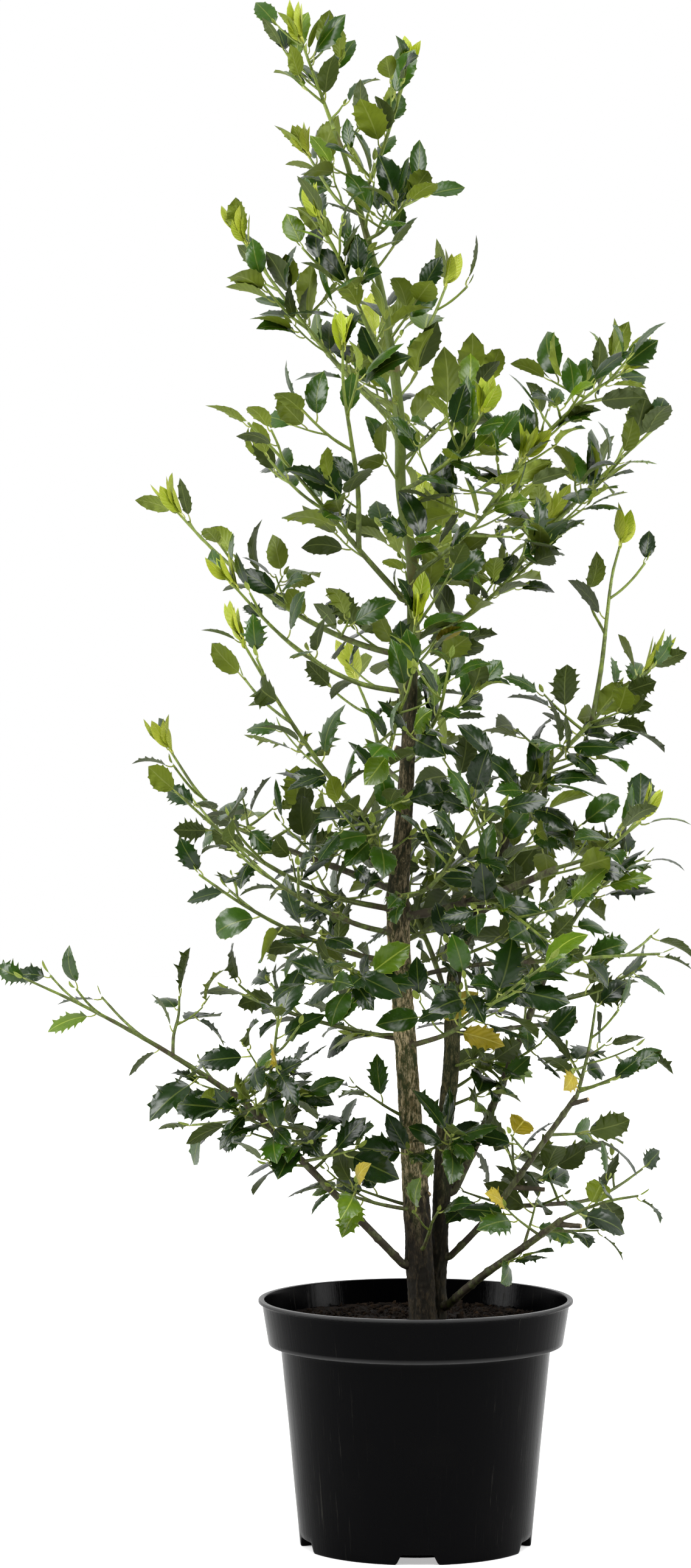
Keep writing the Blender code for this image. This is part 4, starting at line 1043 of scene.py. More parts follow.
def blades(leaves, rng):
    """Every blade at once: P(u, v) = arc(u) + side v w(u) + normal h(u, v).

    The arc bends away from the upper face by an angle shared out along the blade. The width w
    has spines that reach out, with the margin drawn in between them. The height h is a keel that
    rises with the distance from the midrib, a bulge between midrib and margin, a wave of the
    spines, a twist that grows along the blade, and the rib's thickness.
    """
    u, v, kind, _, _ = leaf_layout()
    count = len(leaves)
    lush = np.array([leaf.kind != "grown" for leaf in leaves])[:, None]
    length = np.array([leaf.length for leaf in leaves])[:, None]
    way = np.array([leaf.way for leaf in leaves])[:, None]
    normal = leaf_normals(leaves)[:, None]
    side = np.cross(way, normal)
    stalk = length * STALK_SHARE
    blade = length - stalk

    def between(low, high):
        return rng.uniform(low, high, (count, 1))

    low = how_low(np.array([leaf.foot[2] for leaf in leaves])[:, None])
    hollow = (between(0.0, 1.0) < HOLLOW_SHARE * low) & ~lush
    half = blade * np.where(lush, between(*YOUNG_HALF_WIDTH), between(*BLADE_HALF_WIDTH))
    spiny = np.where(lush, between(*YOUNG_SPINE),
                     between(*GROWN_SPINE) + hollow * between(*HOLLOW_SPINE))
    bend = np.where(lush, between(*YOUNG_BEND), between(*GROWN_BEND))
    keel = np.where(lush, between(*YOUNG_KEEL), between(*GROWN_KEEL))
    wave = np.where(lush, between(*YOUNG_WAVE),
                    between(*GROWN_WAVE) + hollow * between(*HOLLOW_WAVE))
    twist = between(*TWIST)
    is_spine = kind == SPINE
    vigour = rng.uniform(*SPINE_VIGOUR, (count, len(u)))
    along_blade = u + np.where(is_spine, SPINE_LEAD * spiny, np.where(u == 1.0, TIP_POINT, 0.0))
    drawn_in = np.where(kind == BULGE, BULGE_DRAWN_IN, np.where(kind == STEP, STEP_DRAWN_IN, 0.0))
    out = np.where(is_spine, spiny * vigour, -(drawn_in * spiny * vigour))
    across = half * (blade_width(u) * (1.0 + out)) * v
    number = np.round((u - FIRST_SPINE) / SPINE_SPACING)
    flutter = np.where(is_spine, np.cos(np.pi * number + 0.5 * np.pi * (v < 0)), 0.0)
    height = keel * np.abs(across) + half * wave * flutter
    height = height + np.where(kind == MIDDLE, MIDDLE_BULGE * half, 0.0)
    height = height + np.where(kind == RIB, RIB_RISE, 0.0) * BLADE_THICKNESS
    height = height - np.where(kind == UNDER_RIB, UNDER_RIB_DROP, 0.0) * BLADE_THICKNESS
    height = height + twist * across * (along_blade - TWIST_CENTRE)
    start = bend / 2
    angle = start - bend * along_blade
    turned = np.where(np.abs(bend) < LEAST_BEND, LEAST_BEND, bend)
    forward = blade / turned * (np.sin(start) - np.sin(angle))
    upward = blade / turned * (np.cos(angle) - np.cos(start))
    foot = np.array([leaf.foot for leaf in leaves])[:, None] + way * stalk[..., None]
    raised = normal * np.cos(angle)[..., None] - way * np.sin(angle)[..., None]
    points = foot + way * forward[..., None] + normal * upward[..., None]
    return points + side * across[..., None] + raised * height[..., None]


def leaf_normals(leaves):
    """The upper face of each leaf: to the twig's tip, the sky and outwards, square to the leaf."""
    way = np.array([leaf.way for leaf in leaves])
    ahead = np.array([leaf.ahead for leaf in leaves])
    foot = np.array([leaf.foot for leaf in leaves])
    out = foot * (1.0, 1.0, 0.0)
    out = out / (np.linalg.norm(out, axis=1, keepdims=True) + 0.001)
    young = np.array([0.0 if leaf.kind == "grown" else 1.0 for leaf in leaves])[:, None]
    outward = FACE_OUTWARD[0] + (FACE_OUTWARD[1] - FACE_OUTWARD[0]) * how_low(foot[:, 2:])
    face = ahead * (FACE_TO_TIP + young) + UP * FACE_TO_SKY * (1 - young) + out * outward
    face = unit(face - way * np.sum(face * way, axis=1, keepdims=True))
    roll = np.array([leaf.roll * FACE_ROLL / LEAF_ROLL for leaf in leaves])[:, None]
    return face * np.cos(roll) + np.cross(way, face) * np.sin(roll)


def stalks(leaves):
    """Every leaf stalk at once: a thin tube along Q(t), which leaves the twig squarely and turns.

    Q is the quadratic curve from the twig's axis, by a point straight out from the twig, to the
    blade's base. Each ring is a triangle square to the leaf, and a pole closes each end.
    """
    foot = np.array([leaf.foot for leaf in leaves])[:, None]
    way = np.array([leaf.way for leaf in leaves])[:, None]
    ahead = np.array([leaf.ahead for leaf in leaves])[:, None]
    length = np.array([leaf.length for leaf in leaves])[:, None, None] * STALK_SHARE
    out = unit(way - ahead * np.sum(way * ahead, axis=-1, keepdims=True) + 1e-6)
    t = np.array(STALK_RINGS)[:, None]
    line = foot + out * length * (STALK_HOOK * 2 * t * (1 - t)) + way * length * t ** 2
    normal = leaf_normals(leaves)[:, None]
    side = np.cross(way, normal)
    turn = 2 * np.pi * np.arange(STALK_SIDES) / STALK_SIDES
    thin = np.minimum(1.0, length / (STALK_SHARE * LEAF_LENGTH[0]))
    size = STALK_RADIUS * thin * (STALK_TAPER[0] - STALK_TAPER[1] * t)
    spoke = side[:, :, None] * np.cos(turn)[:, None] + normal[:, :, None] * np.sin(turn)[:, None]
    rings = line[:, :, None] + spoke * size[..., None]
    poles = line[:, [0, -1]] + way * size[:, [0, -1]] * np.array([-0.5, 1.0])[:, None]
    return np.concatenate([rings.reshape(len(leaves), -1, 3), poles], axis=1)


def leaf_piece(name, leaves, palettes, finishes, seed):
    """All leaves of one kind as one mesh: stalk and blade, with finishes dealt out leaf by leaf."""
    u, v, _, upper_faces, under_faces = leaf_layout()
    blade_points = blades(leaves, np.random.default_rng(seed))
    points = np.concatenate([blade_points, stalks(leaves)], axis=1)
    rings = len(STALK_RINGS)
    first = len(u)
    tube_faces = list(map(tuple, grid_faces(rings, STALK_SIDES, first)[:, ::-1]))
    tube_faces += list(map(tuple, pole_faces(rings, STALK_SIDES, first)[:, ::-1]))
    per_leaf = points.shape[1]
    shift = np.arange(len(leaves))[:, None, None] * per_leaf
    blocks, marks = [], []
    for corners in (3, 4):
        for part, group in enumerate((upper_faces, under_faces, tube_faces)):
            chosen = np.array([face for face in group if len(face) == corners])
            blocks.append((chosen[None] + shift).reshape(-1, corners))
            marks.append(np.repeat([palette[part] for palette in palettes], len(chosen)))
    tail = per_leaf - first
    uv = np.column_stack([np.concatenate([u, np.full(tail, -0.1)]),
                          0.5 + 0.5 * np.concatenate([v, np.zeros(tail)])])
    tone = np.repeat(np.random.default_rng(seed + 1).uniform(0.0, 1.0, len(leaves)), per_leaf)
    make_piece(name, points.reshape(-1, 3), blocks, finishes, {"tone": tone}, nodes=MASSES,
               uv=np.tile(uv, (len(leaves), 1)), face_finish=np.concatenate(marks),
               crease=LEAF_CREASE)


def kite(leaf, normal):
    """A leaf's blade as two triangles, a little inside its outline, for the test of clearance."""
    side = np.cross(leaf.way, normal) * (leaf.length * KITE_HALF_WIDTH)
    low, middle, high = (leaf.foot + leaf.way * leaf.length * share for share in KITE_SHARES)
    return np.array([low, middle + side, high, middle - side])


def wood_tree(limbs, twigs):
    """A search tree of every limb and shoot, as tubes of four sides."""
    points, faces, count = [], [], 0
    for path, radii in [*limbs.values(), *((twig.path, twig.radii) for twig in twigs)]:
        rings, _ = tube(path, radii, CLEARANCE_SIDES)
        faces.append(grid_faces(len(path), CLEARANCE_SIDES, count))
        points.append(rings.reshape(-1, 3))
        count += len(path) * CLEARANCE_SIDES
    return BVHTree.FromPolygons(np.vstack(points).tolist(), np.vstack(faces).tolist())


def clear_leaves(limbs, twigs, leaves):
    """Young leaves and buds, and the grown leaves clear of wood and each other, from the tips."""
    wood = wood_tree(limbs, twigs)
    order = sorted(leaves, key=lambda leaf: (leaf.kind == "grown", leaf.rank))
    normals = leaf_normals(order)
    kept, lows, highs, trees = [], [], [], []
    for leaf, normal in zip(order, normals):
        if leaf.kind != "grown":
            kept.append(leaf)
            continue
        corners = kite(leaf, normal)
        low, high = corners.min(axis=0), corners.max(axis=0)
        if low[2] < LEAF_LOWEST or np.any(low < REACH_LOW) or np.any(high > REACH_HIGH):
            continue
        tree = BVHTree.FromPolygons(corners.tolist(), ((0, 1, 2), (0, 2, 3)))
        if tree.overlap(wood):
            continue
        if trees:
            near = np.all((np.array(lows) <= high) & (np.array(highs) >= low), axis=1)
            if any(tree.overlap(trees[i]) for i in np.flatnonzero(near)):
                continue
        kept.append(leaf)
        lows.append(low)
        highs.append(high)
        trees.append(tree)
    return kept


# Stems, boughs and shoots.
def joint_bumps(height, turn, radius, centre, joints):
    """The swelling round each joint: a bell of the distance from it, over the stem's surface."""
    total = np.zeros(np.broadcast_shapes(height.shape, turn.shape))
    for at, swell in joints:
        heading = np.arctan2(at[1] - np.interp(at[2], height[:, 0], centre[:, 1]),
                             at[0] - np.interp(at[2], height[:, 0], centre[:, 0]))
        aside = np.abs((turn - heading + np.pi) % (2 * np.pi) - np.pi) * radius
        reach = JOINT_REACH * swell
        total += swell * JOINT_SWELL * np.exp(-(aside ** 2 + (height - at[2]) ** 2) / reach ** 2)
    return total


def stem_surface(line, columns, heights, seed, joints, bark_top):
    """A stem: P(z, a) = C(z) + (r(z) + relief(z, a)) (cos a, sin a, 0), and its bark value.

    C and r are the Catmull-Rom curve through the line's rows. The relief is furrowed bark up to
    a height, from stretched noise sharpened about its middle, smooth grain above it, a swelling
    at each joint, and a ring round the knot.
    """
    rows = curve_through(line, [STEM_CURVE_STEPS] * (len(line) - 1))
    centre = np.column_stack([np.interp(heights, rows[:, 0], rows[:, k]) for k in (1, 2)])
    radius = np.interp(heights, rows[:, 0], rows[:, 3])[:, None]
    z = heights[:, None]
    turn = (2 * np.pi * np.arange(columns) / columns)[None, :]
    old = np.clip((bark_top - z) / BARK_FADE, 0.0, 1.0)
    wide = radius / RIDGE_WIDTH
    warp = WARP_TURN * bump_noise(stacked(2 * np.cos(turn), 2 * np.sin(turn), z / WARP_LENGTH), seed)
    lattice = stacked(np.cos(turn + warp) * wide, np.sin(turn + warp) * wide, z / RIDGE_LENGTH)
    coarse = noise(lattice, seed + 11)
    fine = noise(lattice * FINE_RIDGE_SCALE, seed + 12)
    ridge = 0.5 + RIDGE_CONTRAST[0] * (coarse - 0.5) + RIDGE_CONTRAST[1] * (fine - 0.5)
    ridge = np.clip(ridge, 0.0, 1.0)
    grain = bump_noise(lattice * GRAIN_SCALE, seed + 13)
    relief = (old * (RIDGE_HEIGHT * (ridge - 0.5) + GRAIN_HEIGHT * grain)
              + (1 - old) * SMOOTH_GRAIN_HEIGHT * grain)
    relief = relief + joint_bumps(z, turn, radius, centre, joints)
    knot = np.exp(-((z - KNOT_HEIGHT) / KNOT_LENGTH) ** 2)
    relief = relief + KNOT_SWELL * knot * (KNOT_ROUGHNESS[0] + KNOT_ROUGHNESS[1] * coarse)
    size = radius + relief
    rings = stacked(centre[:, :1] + size * np.cos(turn), centre[:, 1:] + size * np.sin(turn), z)
    poles = rings[[0, -1]].mean(axis=1) + np.array(STEM_POLES)
    return rings, poles, ridge * old


def joints_on(carrier, path):
    """Where boughs and shoots leave a stem, and the radius that each has there."""
    sizes = [(limb, limb.radius) for limb in BOUGHS]
    sizes += [(shoot, shoot_radius(shoot)) for shoot in SHOOTS]
    found = []
    for limb, size in sizes:
        if limb.carrier == carrier and limb.share < 1.0:
            point, _, radius = along(*path, limb.share)
            turn = math.radians(limb.heading)
            out = np.array((math.cos(turn), math.sin(turn), 0.0))
            found.append((point + out * radius + UP * JOINT_RISE, size))
    return found


def rooted(path, radii, carrier_point):
    """A limb's path carried back into its carrier, with a flared foot."""
    inner = path[0] + (carrier_point - path[0]) * ROOT_DEPTH
    flare = np.array([*FOOT_FLARE, *np.ones(len(radii) - 1)])
    return np.vstack([inner, path]), np.concatenate([radii[:1], radii]) * flare


def knobbly(path, every, height, sides, seed):
    """The relief of a limb: a low ring at each leaf scar, and fine noise round and along it."""
    run = run_of(path)[:, None]
    turn = (2 * np.pi * np.arange(sides) / sides)[None, :]
    phase = run / every
    scars = np.exp(-((phase - np.round(phase)) * every / SCAR_LENGTH) ** 2)
    lattice = stacked(2 * np.cos(turn), 2 * np.sin(turn), run / SKIN_LENGTH)
    one_side = SCAR_SIDES[0] + SCAR_SIDES[1] * np.cos(turn - SCAR_TURN * np.round(phase))
    return height * scars * one_side + SKIN_SHARE * height * bump_noise(lattice, seed)


# The pot and what fills it.
def rounded(rows, spacing):
    """A profile of (radius, height, rounding) rows as points: each corner a quadratic curve."""
    corners = np.array([row[:2] for row in rows])
    points = [corners[:1]]
    for i in range(1, len(rows) - 1):
        before = unit(corners[i - 1] - corners[i]) * rows[i][2]
        after = unit(corners[i + 1] - corners[i]) * rows[i][2]
        t = np.linspace(0.0, 1.0, 5 if rows[i][2] else 1)[:, None]
        points.append(corners[i] + before * (1 - t) ** 2 + after * t ** 2)
    points = np.vstack(points + [corners[-1:]])
    filled = [points[:1]]
    for a, b in zip(points, points[1:]):
        count = max(1, int(np.linalg.norm(b - a) / spacing))
        filled.append(a + (b - a) * (np.arange(1, count + 1) / count)[:, None])
    return np.vstack(filled)


def channel_lift(radius, turn, height, margin):
    """How far the drain channels raise a point near the foot: up inside a channel, 0 elsewhere.

    The lift is the product of three clipped slopes, across, inward and upward, and the top.
    """
    pitch = 2 * np.pi / CHANNELS
    off = (turn + np.pi / 2 + pitch / 2) % pitch - pitch / 2
    aside = np.abs(radius * np.sin(off)) - margin
    slope = (CHANNEL_FOOT_WIDTH - CHANNEL_TOP_WIDTH) / 2
    sides = np.clip((CHANNEL_FOOT_WIDTH / 2 - aside) / slope, 0.0, 1.0)
    inward = np.clip((radius - CHANNEL_INNER_END + margin) / CHANNEL_END_SLOPE, 0.0, 1.0)
    top = CHANNEL_HEIGHT + margin
    fade = np.clip(1.0 - height / (CHANNEL_FADE * top), 0.0, 1.0)
    return sides * inward * fade * top


def lathe(profile, columns):
    """A turned surface: P(s, a) = (r(s) cos a, r(s) sin a, z(s))."""
    turn = (2 * np.pi * np.arange(columns) / columns)[None, :]
    radius = profile[:, :1]
    z = np.broadcast_to(profile[:, 1:], (len(profile), columns))
    return np.stack([radius * np.cos(turn), radius * np.sin(turn), z], -1), turn


def pot_surface():
    """The pot: its profile turned about the axis, with the channels lifted into its foot.

    The drain holes are round recesses almost through the foot, so the shell stays closed.
    """
    slope = (BODY_TOP_RADIUS - BASE_RADIUS) / BAND_FOOT_HEIGHT
    inner_step = BAND_FOOT_HEIGHT + STEP_SLOPE + WALL
    floor_edge = BASE_RADIUS - WALL + slope * FLOOR
    profile = rounded((
        (HUB_RADIUS, 0.0, 0.0),
        (BASE_RADIUS - 0.0004, 0.0, 0.0018),
        (BODY_TOP_RADIUS, BAND_FOOT_HEIGHT - STEP_SLOPE, 0.0012),
        (BAND_FOOT_RADIUS, BAND_FOOT_HEIGHT, 0.0012),
        (BAND_TOP_RADIUS, POT_HEIGHT - LIP_UNDERSIDE, 0.0006),
        (LIP_RADIUS, POT_HEIGHT - LIP_EDGE, 0.0007),
        (LIP_RADIUS - 0.0002, POT_HEIGHT, 0.0012),
        (BAND_TOP_RADIUS - WALL, POT_HEIGHT - 0.0001, 0.0008),
        (BAND_FOOT_RADIUS - WALL, inner_step, 0.0012),
        (BODY_TOP_RADIUS - WALL, inner_step - STEP_SLOPE, 0.0012),
        (floor_edge, FLOOR, 0.0015),
        (HUB_RADIUS, FLOOR, 0.0),
    ), POT_STEP)
    rings, turn = lathe(profile, POT_COLUMNS)
    radius = profile[:, :1]
    height = profile[:, 1:]
    lip = int(np.argmax(profile[:, 1]))
    outside = (np.arange(len(profile)) <= lip)[:, None]
    lift = np.where(outside, channel_lift(radius, turn, height, 0.0),
                    channel_lift(radius, turn, height - FLOOR, WALL))
    pitch = 2 * np.pi / CHANNELS
    centre = -np.pi / 2 + np.round((turn + np.pi / 2) / pitch) * pitch
    away = np.hypot(radius * np.cos(turn) - DRAIN_PLACE * np.cos(centre),
                    radius * np.sin(turn) - DRAIN_PLACE * np.sin(centre))
    hole = outside & (height < 0.001) & (away < DRAIN_RADIUS)
    rings[..., 2] += lift + np.where(hole, DRAIN_BLIND * WALL, 0.0)
    wobble = POT_WOBBLE * (noise(rings / WOBBLE_LENGTH, 5) - 0.5) * (height > WOBBLE_FROM)
    rings[..., :2] *= 1.0 + wobble[..., None] / MEAN_RADIUS
    poles = np.array([(0.0, 0.0, 0.0), (0.0, 0.0, FLOOR)])
    # Pale lines at the lip and the band's foot: wear, and a painted highlight.
    lip_wear_and_highlight = np.exp(-((height - POT_HEIGHT) / LIP_WEAR_AND_HIGHLIGHT) ** 2)
    band_wear_and_highlight = np.exp(-((height - BAND_FOOT_HEIGHT) / BAND_WEAR_AND_HIGHLIGHT) ** 2)
    return rings, poles, (lip_wear_and_highlight + band_wear_and_highlight) * outside


def soil_surface():
    """The compost: a lumpy polar height field on top, and the pot's inside, drawn in, below."""
    slope = (BODY_TOP_RADIUS - BASE_RADIUS) / BAND_FOOT_HEIGHT
    band_slope = (BAND_TOP_RADIUS - BAND_FOOT_RADIUS) / (POT_HEIGHT - BAND_FOOT_HEIGHT)
    inner = WALL + 2 * GAP
    step_top = BAND_FOOT_HEIGHT + STEP_SLOPE + WALL
    top_radius = BAND_FOOT_RADIUS - inner + band_slope * (SOIL_HEIGHT - BAND_FOOT_HEIGHT)
    foot = FLOOR + CHANNEL_HEIGHT + WALL
    profile = rounded((
        (0.010, foot, 0.0),
        (BASE_RADIUS - inner + slope * foot, foot, 0.0),
        (BODY_TOP_RADIUS - inner, step_top - STEP_SLOPE, 0.0),
        (BAND_FOOT_RADIUS - inner, step_top, 0.0),
        (top_radius, SOIL_HEIGHT - 0.002, 0.0),
        (top_radius - 0.003, SOIL_HEIGHT, 0.0),
        (0.003, SOIL_HEIGHT, 0.0),
    ), COMPOST_STEP)
    rings, _ = lathe(profile, COMPOST_COLUMNS)
    on_top = (profile[:, 1] > SOIL_HEIGHT - 0.0021)[:, None]
    lumps = (LUMP_HEIGHTS[0] * bump_noise(rings / LUMP_LENGTHS[0], 21, 4)
             + LUMP_HEIGHTS[1] * bump_noise(rings / LUMP_LENGTHS[1], 22, 2))
    rings[..., 2] += np.where(on_top, lumps, 0.0)
    poles = np.array([(0.0, 0.0, foot), (0.0, 0.0, SOIL_HEIGHT + 0.001)])
    return rings, poles


def lump_shape():
    """A lump's corners and faces: an icosahedron, whose near corners are joined by triangles."""
    golden = (1 + math.sqrt(5)) / 2
    signs = list(itertools.product((-1, 1), repeat=2))
    lump = unit(np.array([(a, b * golden, 0.0) for a, b in signs]
                         + [(0.0, a, b * golden) for a, b in signs]
                         + [(b * golden, 0.0, a) for a, b in signs]))
    near = np.linalg.norm(lump[:, None] - lump[None], axis=-1) < 1.2
    faces = []
    for a, b, c in itertools.combinations(range(LUMP_CORNERS), 3):
        if near[a, b] and near[b, c] and near[a, c]:
            outward = np.dot(np.cross(lump[b] - lump[a], lump[c] - lump[a]), lump[a]) > 0
            faces.append((a, b, c) if outward else (c, b, a))
    return lump, np.array(faces)


def crumbs(count, sizes, stretch, seed, name, finish):
    """Loose bits on the compost: many copies of one rough lump, each turned and stretched."""
    rng = np.random.default_rng(seed)
    lump, faces = lump_shape()
    radius = CRUMB_REACH * np.sqrt(rng.uniform(0.0, 1.0, count))
    turn = rng.uniform(0.0, 2 * np.pi, count)
    size = rng.uniform(*sizes, (count, 1)) * rng.uniform(*stretch, (count, 3))
    body = lump[None] * size[:, None] * rng.uniform(0.7, 1.25, (count, LUMP_CORNERS, 1))
    axes = unit(rng.normal(size=(count, 3)) * (1.0, 1.0, 0.35))
    second = unit(np.cross(axes, rng.normal(size=(count, 3))))
    frames = np.stack([axes, second, np.cross(axes, second)], axis=-2)
    place = stacked(radius * np.cos(turn), radius * np.sin(turn), SOIL_HEIGHT + CRUMB_RISE)
    points = body @ frames + place[:, None]
    blocks = faces[None] + np.arange(count)[:, None, None] * LUMP_CORNERS
    tone = np.repeat(rng.uniform(0.0, 1.0, count), LUMP_CORNERS)
    make_piece(name, points.reshape(-1, 3), [blocks.reshape(-1, 3)], [finish], {"tone": tone},
               slot="compost")


# Finishes.
def paint(red, green, blue):
    """A colour as a screen shows it, from 0 to 255, as the shader's linear one."""
    share = np.array((red, green, blue)) / 255.0
    linear = np.where(share <= 0.04045, share / 12.92, ((share + 0.055) / 1.055) ** 2.4)
    return (*linear.tolist(), 1.0)


def dimmed(colour, share):
    """A linear colour made darker, or lighter above 1."""
    return tuple(share * part for part in colour[:3]) + (1.0,)


def fill(tree, wanted, value):
    """A socket is linked to an input, and a value is set in it."""
    if isinstance(value, bpy.types.NodeSocket):
        tree.links.new(value, wanted)
    else:
        wanted.default_value = value


def add_node(tree, kind, settings=None, **inputs):
    """A node with its settings and inputs: i_0 is the first input, and Base_Color goes by name."""
    made = tree.nodes.new(kind)
    for title, setting in (settings or {}).items():
        setattr(made, title, setting)
    for title, value in inputs.items():
        number = title.removeprefix("i_")
        key = int(number) if number.isdigit() else title.replace("_", " ")
        fill(tree, made.inputs[key], value)
    return made


def math_node(tree, operation, first, second=0.0, third=0.0):
    """One sum on values."""
    made = add_node(tree, "ShaderNodeMath", {"operation": operation}, i_0=first, i_1=second,
                    i_2=third)
    return made.outputs[0]


def plus(tree, first, second):
    """Two values added."""
    return math_node(tree, "ADD", first, second)


def times(tree, first, second):
    """Two values multiplied."""
    return math_node(tree, "MULTIPLY", first, second)


def distance_from(tree, value, middle):
    """How far a value is from a middle."""
    return math_node(tree, "ABSOLUTE", math_node(tree, "SUBTRACT", value, middle))


def ramp(tree, value, low, high, start=0.0, end=1.0):
    """A value brought from one range to another, with soft ends."""
    return add_node(tree, "ShaderNodeMapRange", {"interpolation_type": "SMOOTHSTEP"}, i_0=value,
                    i_1=low, i_2=high, i_3=start, i_4=end).outputs[0]


def blend(tree, share, first, second):
    """Two colours mixed by a share."""
    made = tree.nodes.new("ShaderNodeMix")
    made.data_type = "RGBA"
    for number, value in ((0, share), (6, first), (7, second)):
        fill(tree, made.inputs[number], value)
    return made.outputs[2]


def vector_node(tree, operation, output=0, **inputs):
    """One sum on vectors."""
    return add_node(tree, "ShaderNodeVectorMath", {"operation": operation}, **inputs).outputs[output]


def coordinates(tree, kind="Object"):
    """A place on the piece, or a direction in the room, which is its Generated one."""
    return add_node(tree, "ShaderNodeTexCoord").outputs[kind]


def parts_of(tree, vector):
    """The three parts of a vector."""
    return add_node(tree, "ShaderNodeSeparateXYZ", i_0=vector).outputs


def attribute(tree, title):
    """A value that a piece carries at each point."""
    return add_node(tree, "ShaderNodeAttribute", {"attribute_name": title}).outputs["Fac"]


def stretched(tree, place, stretch):
    """A place drawn out along the height: a stretch below 1 makes a pattern longer."""
    squeeze = add_node(tree, "ShaderNodeCombineXYZ", i_0=1.0, i_1=1.0, i_2=stretch)
    return vector_node(tree, "MULTIPLY", i_0=place, i_1=squeeze.outputs[0])


def new_group(name, inputs, outputs):
    """An empty node group with float inputs and their values, and float outputs."""
    group = bpy.data.node_groups.new(name, "ShaderNodeTree")
    for title, value in inputs.items():
        socket = group.interface.new_socket(title, in_out="INPUT", socket_type="NodeSocketFloat")
        socket.default_value = value
    for title in outputs:
        group.interface.new_socket(title, in_out="OUTPUT", socket_type="NodeSocketFloat")
    given = group.nodes.new("NodeGroupInput").outputs
    return group, given, group.nodes.new("NodeGroupOutput").inputs


def mottle_group():
    """Soft blotches over the object's own place, by scale and by stretch along the height."""
    group, given, result = new_group(
        "mottle", {"Scale": 40.0, "Stretch": 1.0, "Detail": 3.0}, ["Blotch"])
    place = stretched(group, coordinates(group), given["Stretch"])
    cloud = add_node(group, "ShaderNodeTexNoise", Vector=place, Scale=given["Scale"],
                     Detail=given["Detail"], Roughness=0.6)
    group.links.new(cloud.outputs[0], result["Blotch"])
    return group


def leaf_figure_group():
    """The figure of a leaf on its own map: midrib, side veins, pale margin and quilted relief."""
    group, given, result = new_group("leaf_figure", {"Veins": 6.5, "Slant": 0.34},
                                     ["Midrib", "Veins", "Margin", "Quilt"])
    place = add_node(group, "ShaderNodeUVMap", {"uv_map": "figure"}).outputs[0]
    apart = parts_of(group, place)
    across = math_node(group, "ABSOLUTE", math_node(group, "MULTIPLY_ADD", apart[1], 2.0, -1.0))
    midrib = ramp(group, across, 0.030, 0.075, 1.0, 0.0)
    margin = ramp(group, across, 0.95, 1.0)
    slant = times(group, math_node(group, "POWER", across, 0.8), given["Slant"])
    phase = times(group, math_node(group, "SUBTRACT", apart[0], slant), given["Veins"])
    sine = math_node(group, "SINE", times(group, phase, math.pi))
    wave = math_node(group, "ABSOLUTE", sine)
    veins = ramp(group, wave, 0.0, 0.22, 1.0, 0.0)
    net = add_node(group, "ShaderNodeTexVoronoi", {"feature": "DISTANCE_TO_EDGE"}, Vector=place,
                   Scale=16.0)
    mesh = ramp(group, net.outputs[0], 0.0, 0.12)
    quilt = plus(group, times(group, wave, wave), times(group, mesh, 0.12))
    quilt = math_node(group, "SUBTRACT", quilt, times(group, midrib, 0.8))
    for title, value in (("Midrib", midrib), ("Veins", veins), ("Margin", margin), ("Quilt", quilt)):
        group.links.new(value, result[title])
    return group


def bark_group():
    """Bark grain: fine streaks up the stem and darker specks, over the object's own place."""
    group, given, result = new_group(
        "bark_grain", {"Scale": 260.0, "Stretch": 0.16}, ["Streak", "Speck"])
    place = coordinates(group)
    cloud = add_node(group, "ShaderNodeTexNoise", Vector=stretched(group, place, given["Stretch"]),
                     Scale=given["Scale"], Detail=4.0, Roughness=0.65)
    dots = add_node(group, "ShaderNodeTexVoronoi", Vector=place, Scale=420.0)
    group.links.new(cloud.outputs[0], result["Streak"])
    group.links.new(ramp(group, dots.outputs[0], 0.10, 0.22, 1.0, 0.0), result["Speck"])
    return group


def new_finish(name):
    """A material with its Principled shader."""
    made = bpy.data.materials.new(name)
    made.use_nodes = True
    return made, made.node_tree, made.node_tree.nodes["Principled BSDF"]


def feed(tree, shader, **inputs):
    """The shader's own inputs, linked or set."""
    for title, value in inputs.items():
        fill(tree, shader.inputs[title.replace("_", " ")], value)


def use(tree, group, **inputs):
    """The outputs of a group placed in a material."""
    made = add_node(tree, "ShaderNodeGroup", {"node_tree": group})
    for title, value in inputs.items():
        made.inputs[title].default_value = value
    return made.outputs


def embossed(tree, height, distance):
    """A normal from a height."""
    return add_node(tree, "ShaderNodeBump", Strength=1.0, Distance=distance,
                    Height=height).outputs[0]


def leaf_finish(sheet, groups):
    """A leaf sheet: two greens mottled, with its ribs, veins, margin and quilting."""
    made, tree, shader = new_finish(sheet.name)
    tone = attribute(tree, "tone")
    cloud = use(tree, groups["mottle"], Scale=55.0)[0]
    figure = use(tree, groups["figure"])
    rib, margin = paint(*sheet.rib), paint(*sheet.margin)
    share = plus(tree, times(tree, tone, 0.65), ramp(tree, cloud, 0.35, 0.70, 0.0, 0.35))
    colour = blend(tree, share, paint(*sheet.dark), paint(*sheet.light))
    colour = blend(tree, times(tree, figure["Veins"], sheet.vein_share), colour, rib)
    colour = blend(tree, times(tree, figure["Midrib"], 0.75), colour, rib)
    colour = blend(tree, times(tree, figure["Margin"], 0.7), colour, margin)
    shine = ramp(tree, cloud, 0.3, 0.7, sheet.roughness, sheet.roughness + 0.08)
    feed(tree, shader, Base_Color=colour, Roughness=shine, Specular_IOR_Level=0.40,
         Normal=embossed(tree, figure["Quilt"], sheet.quilt))
    return made


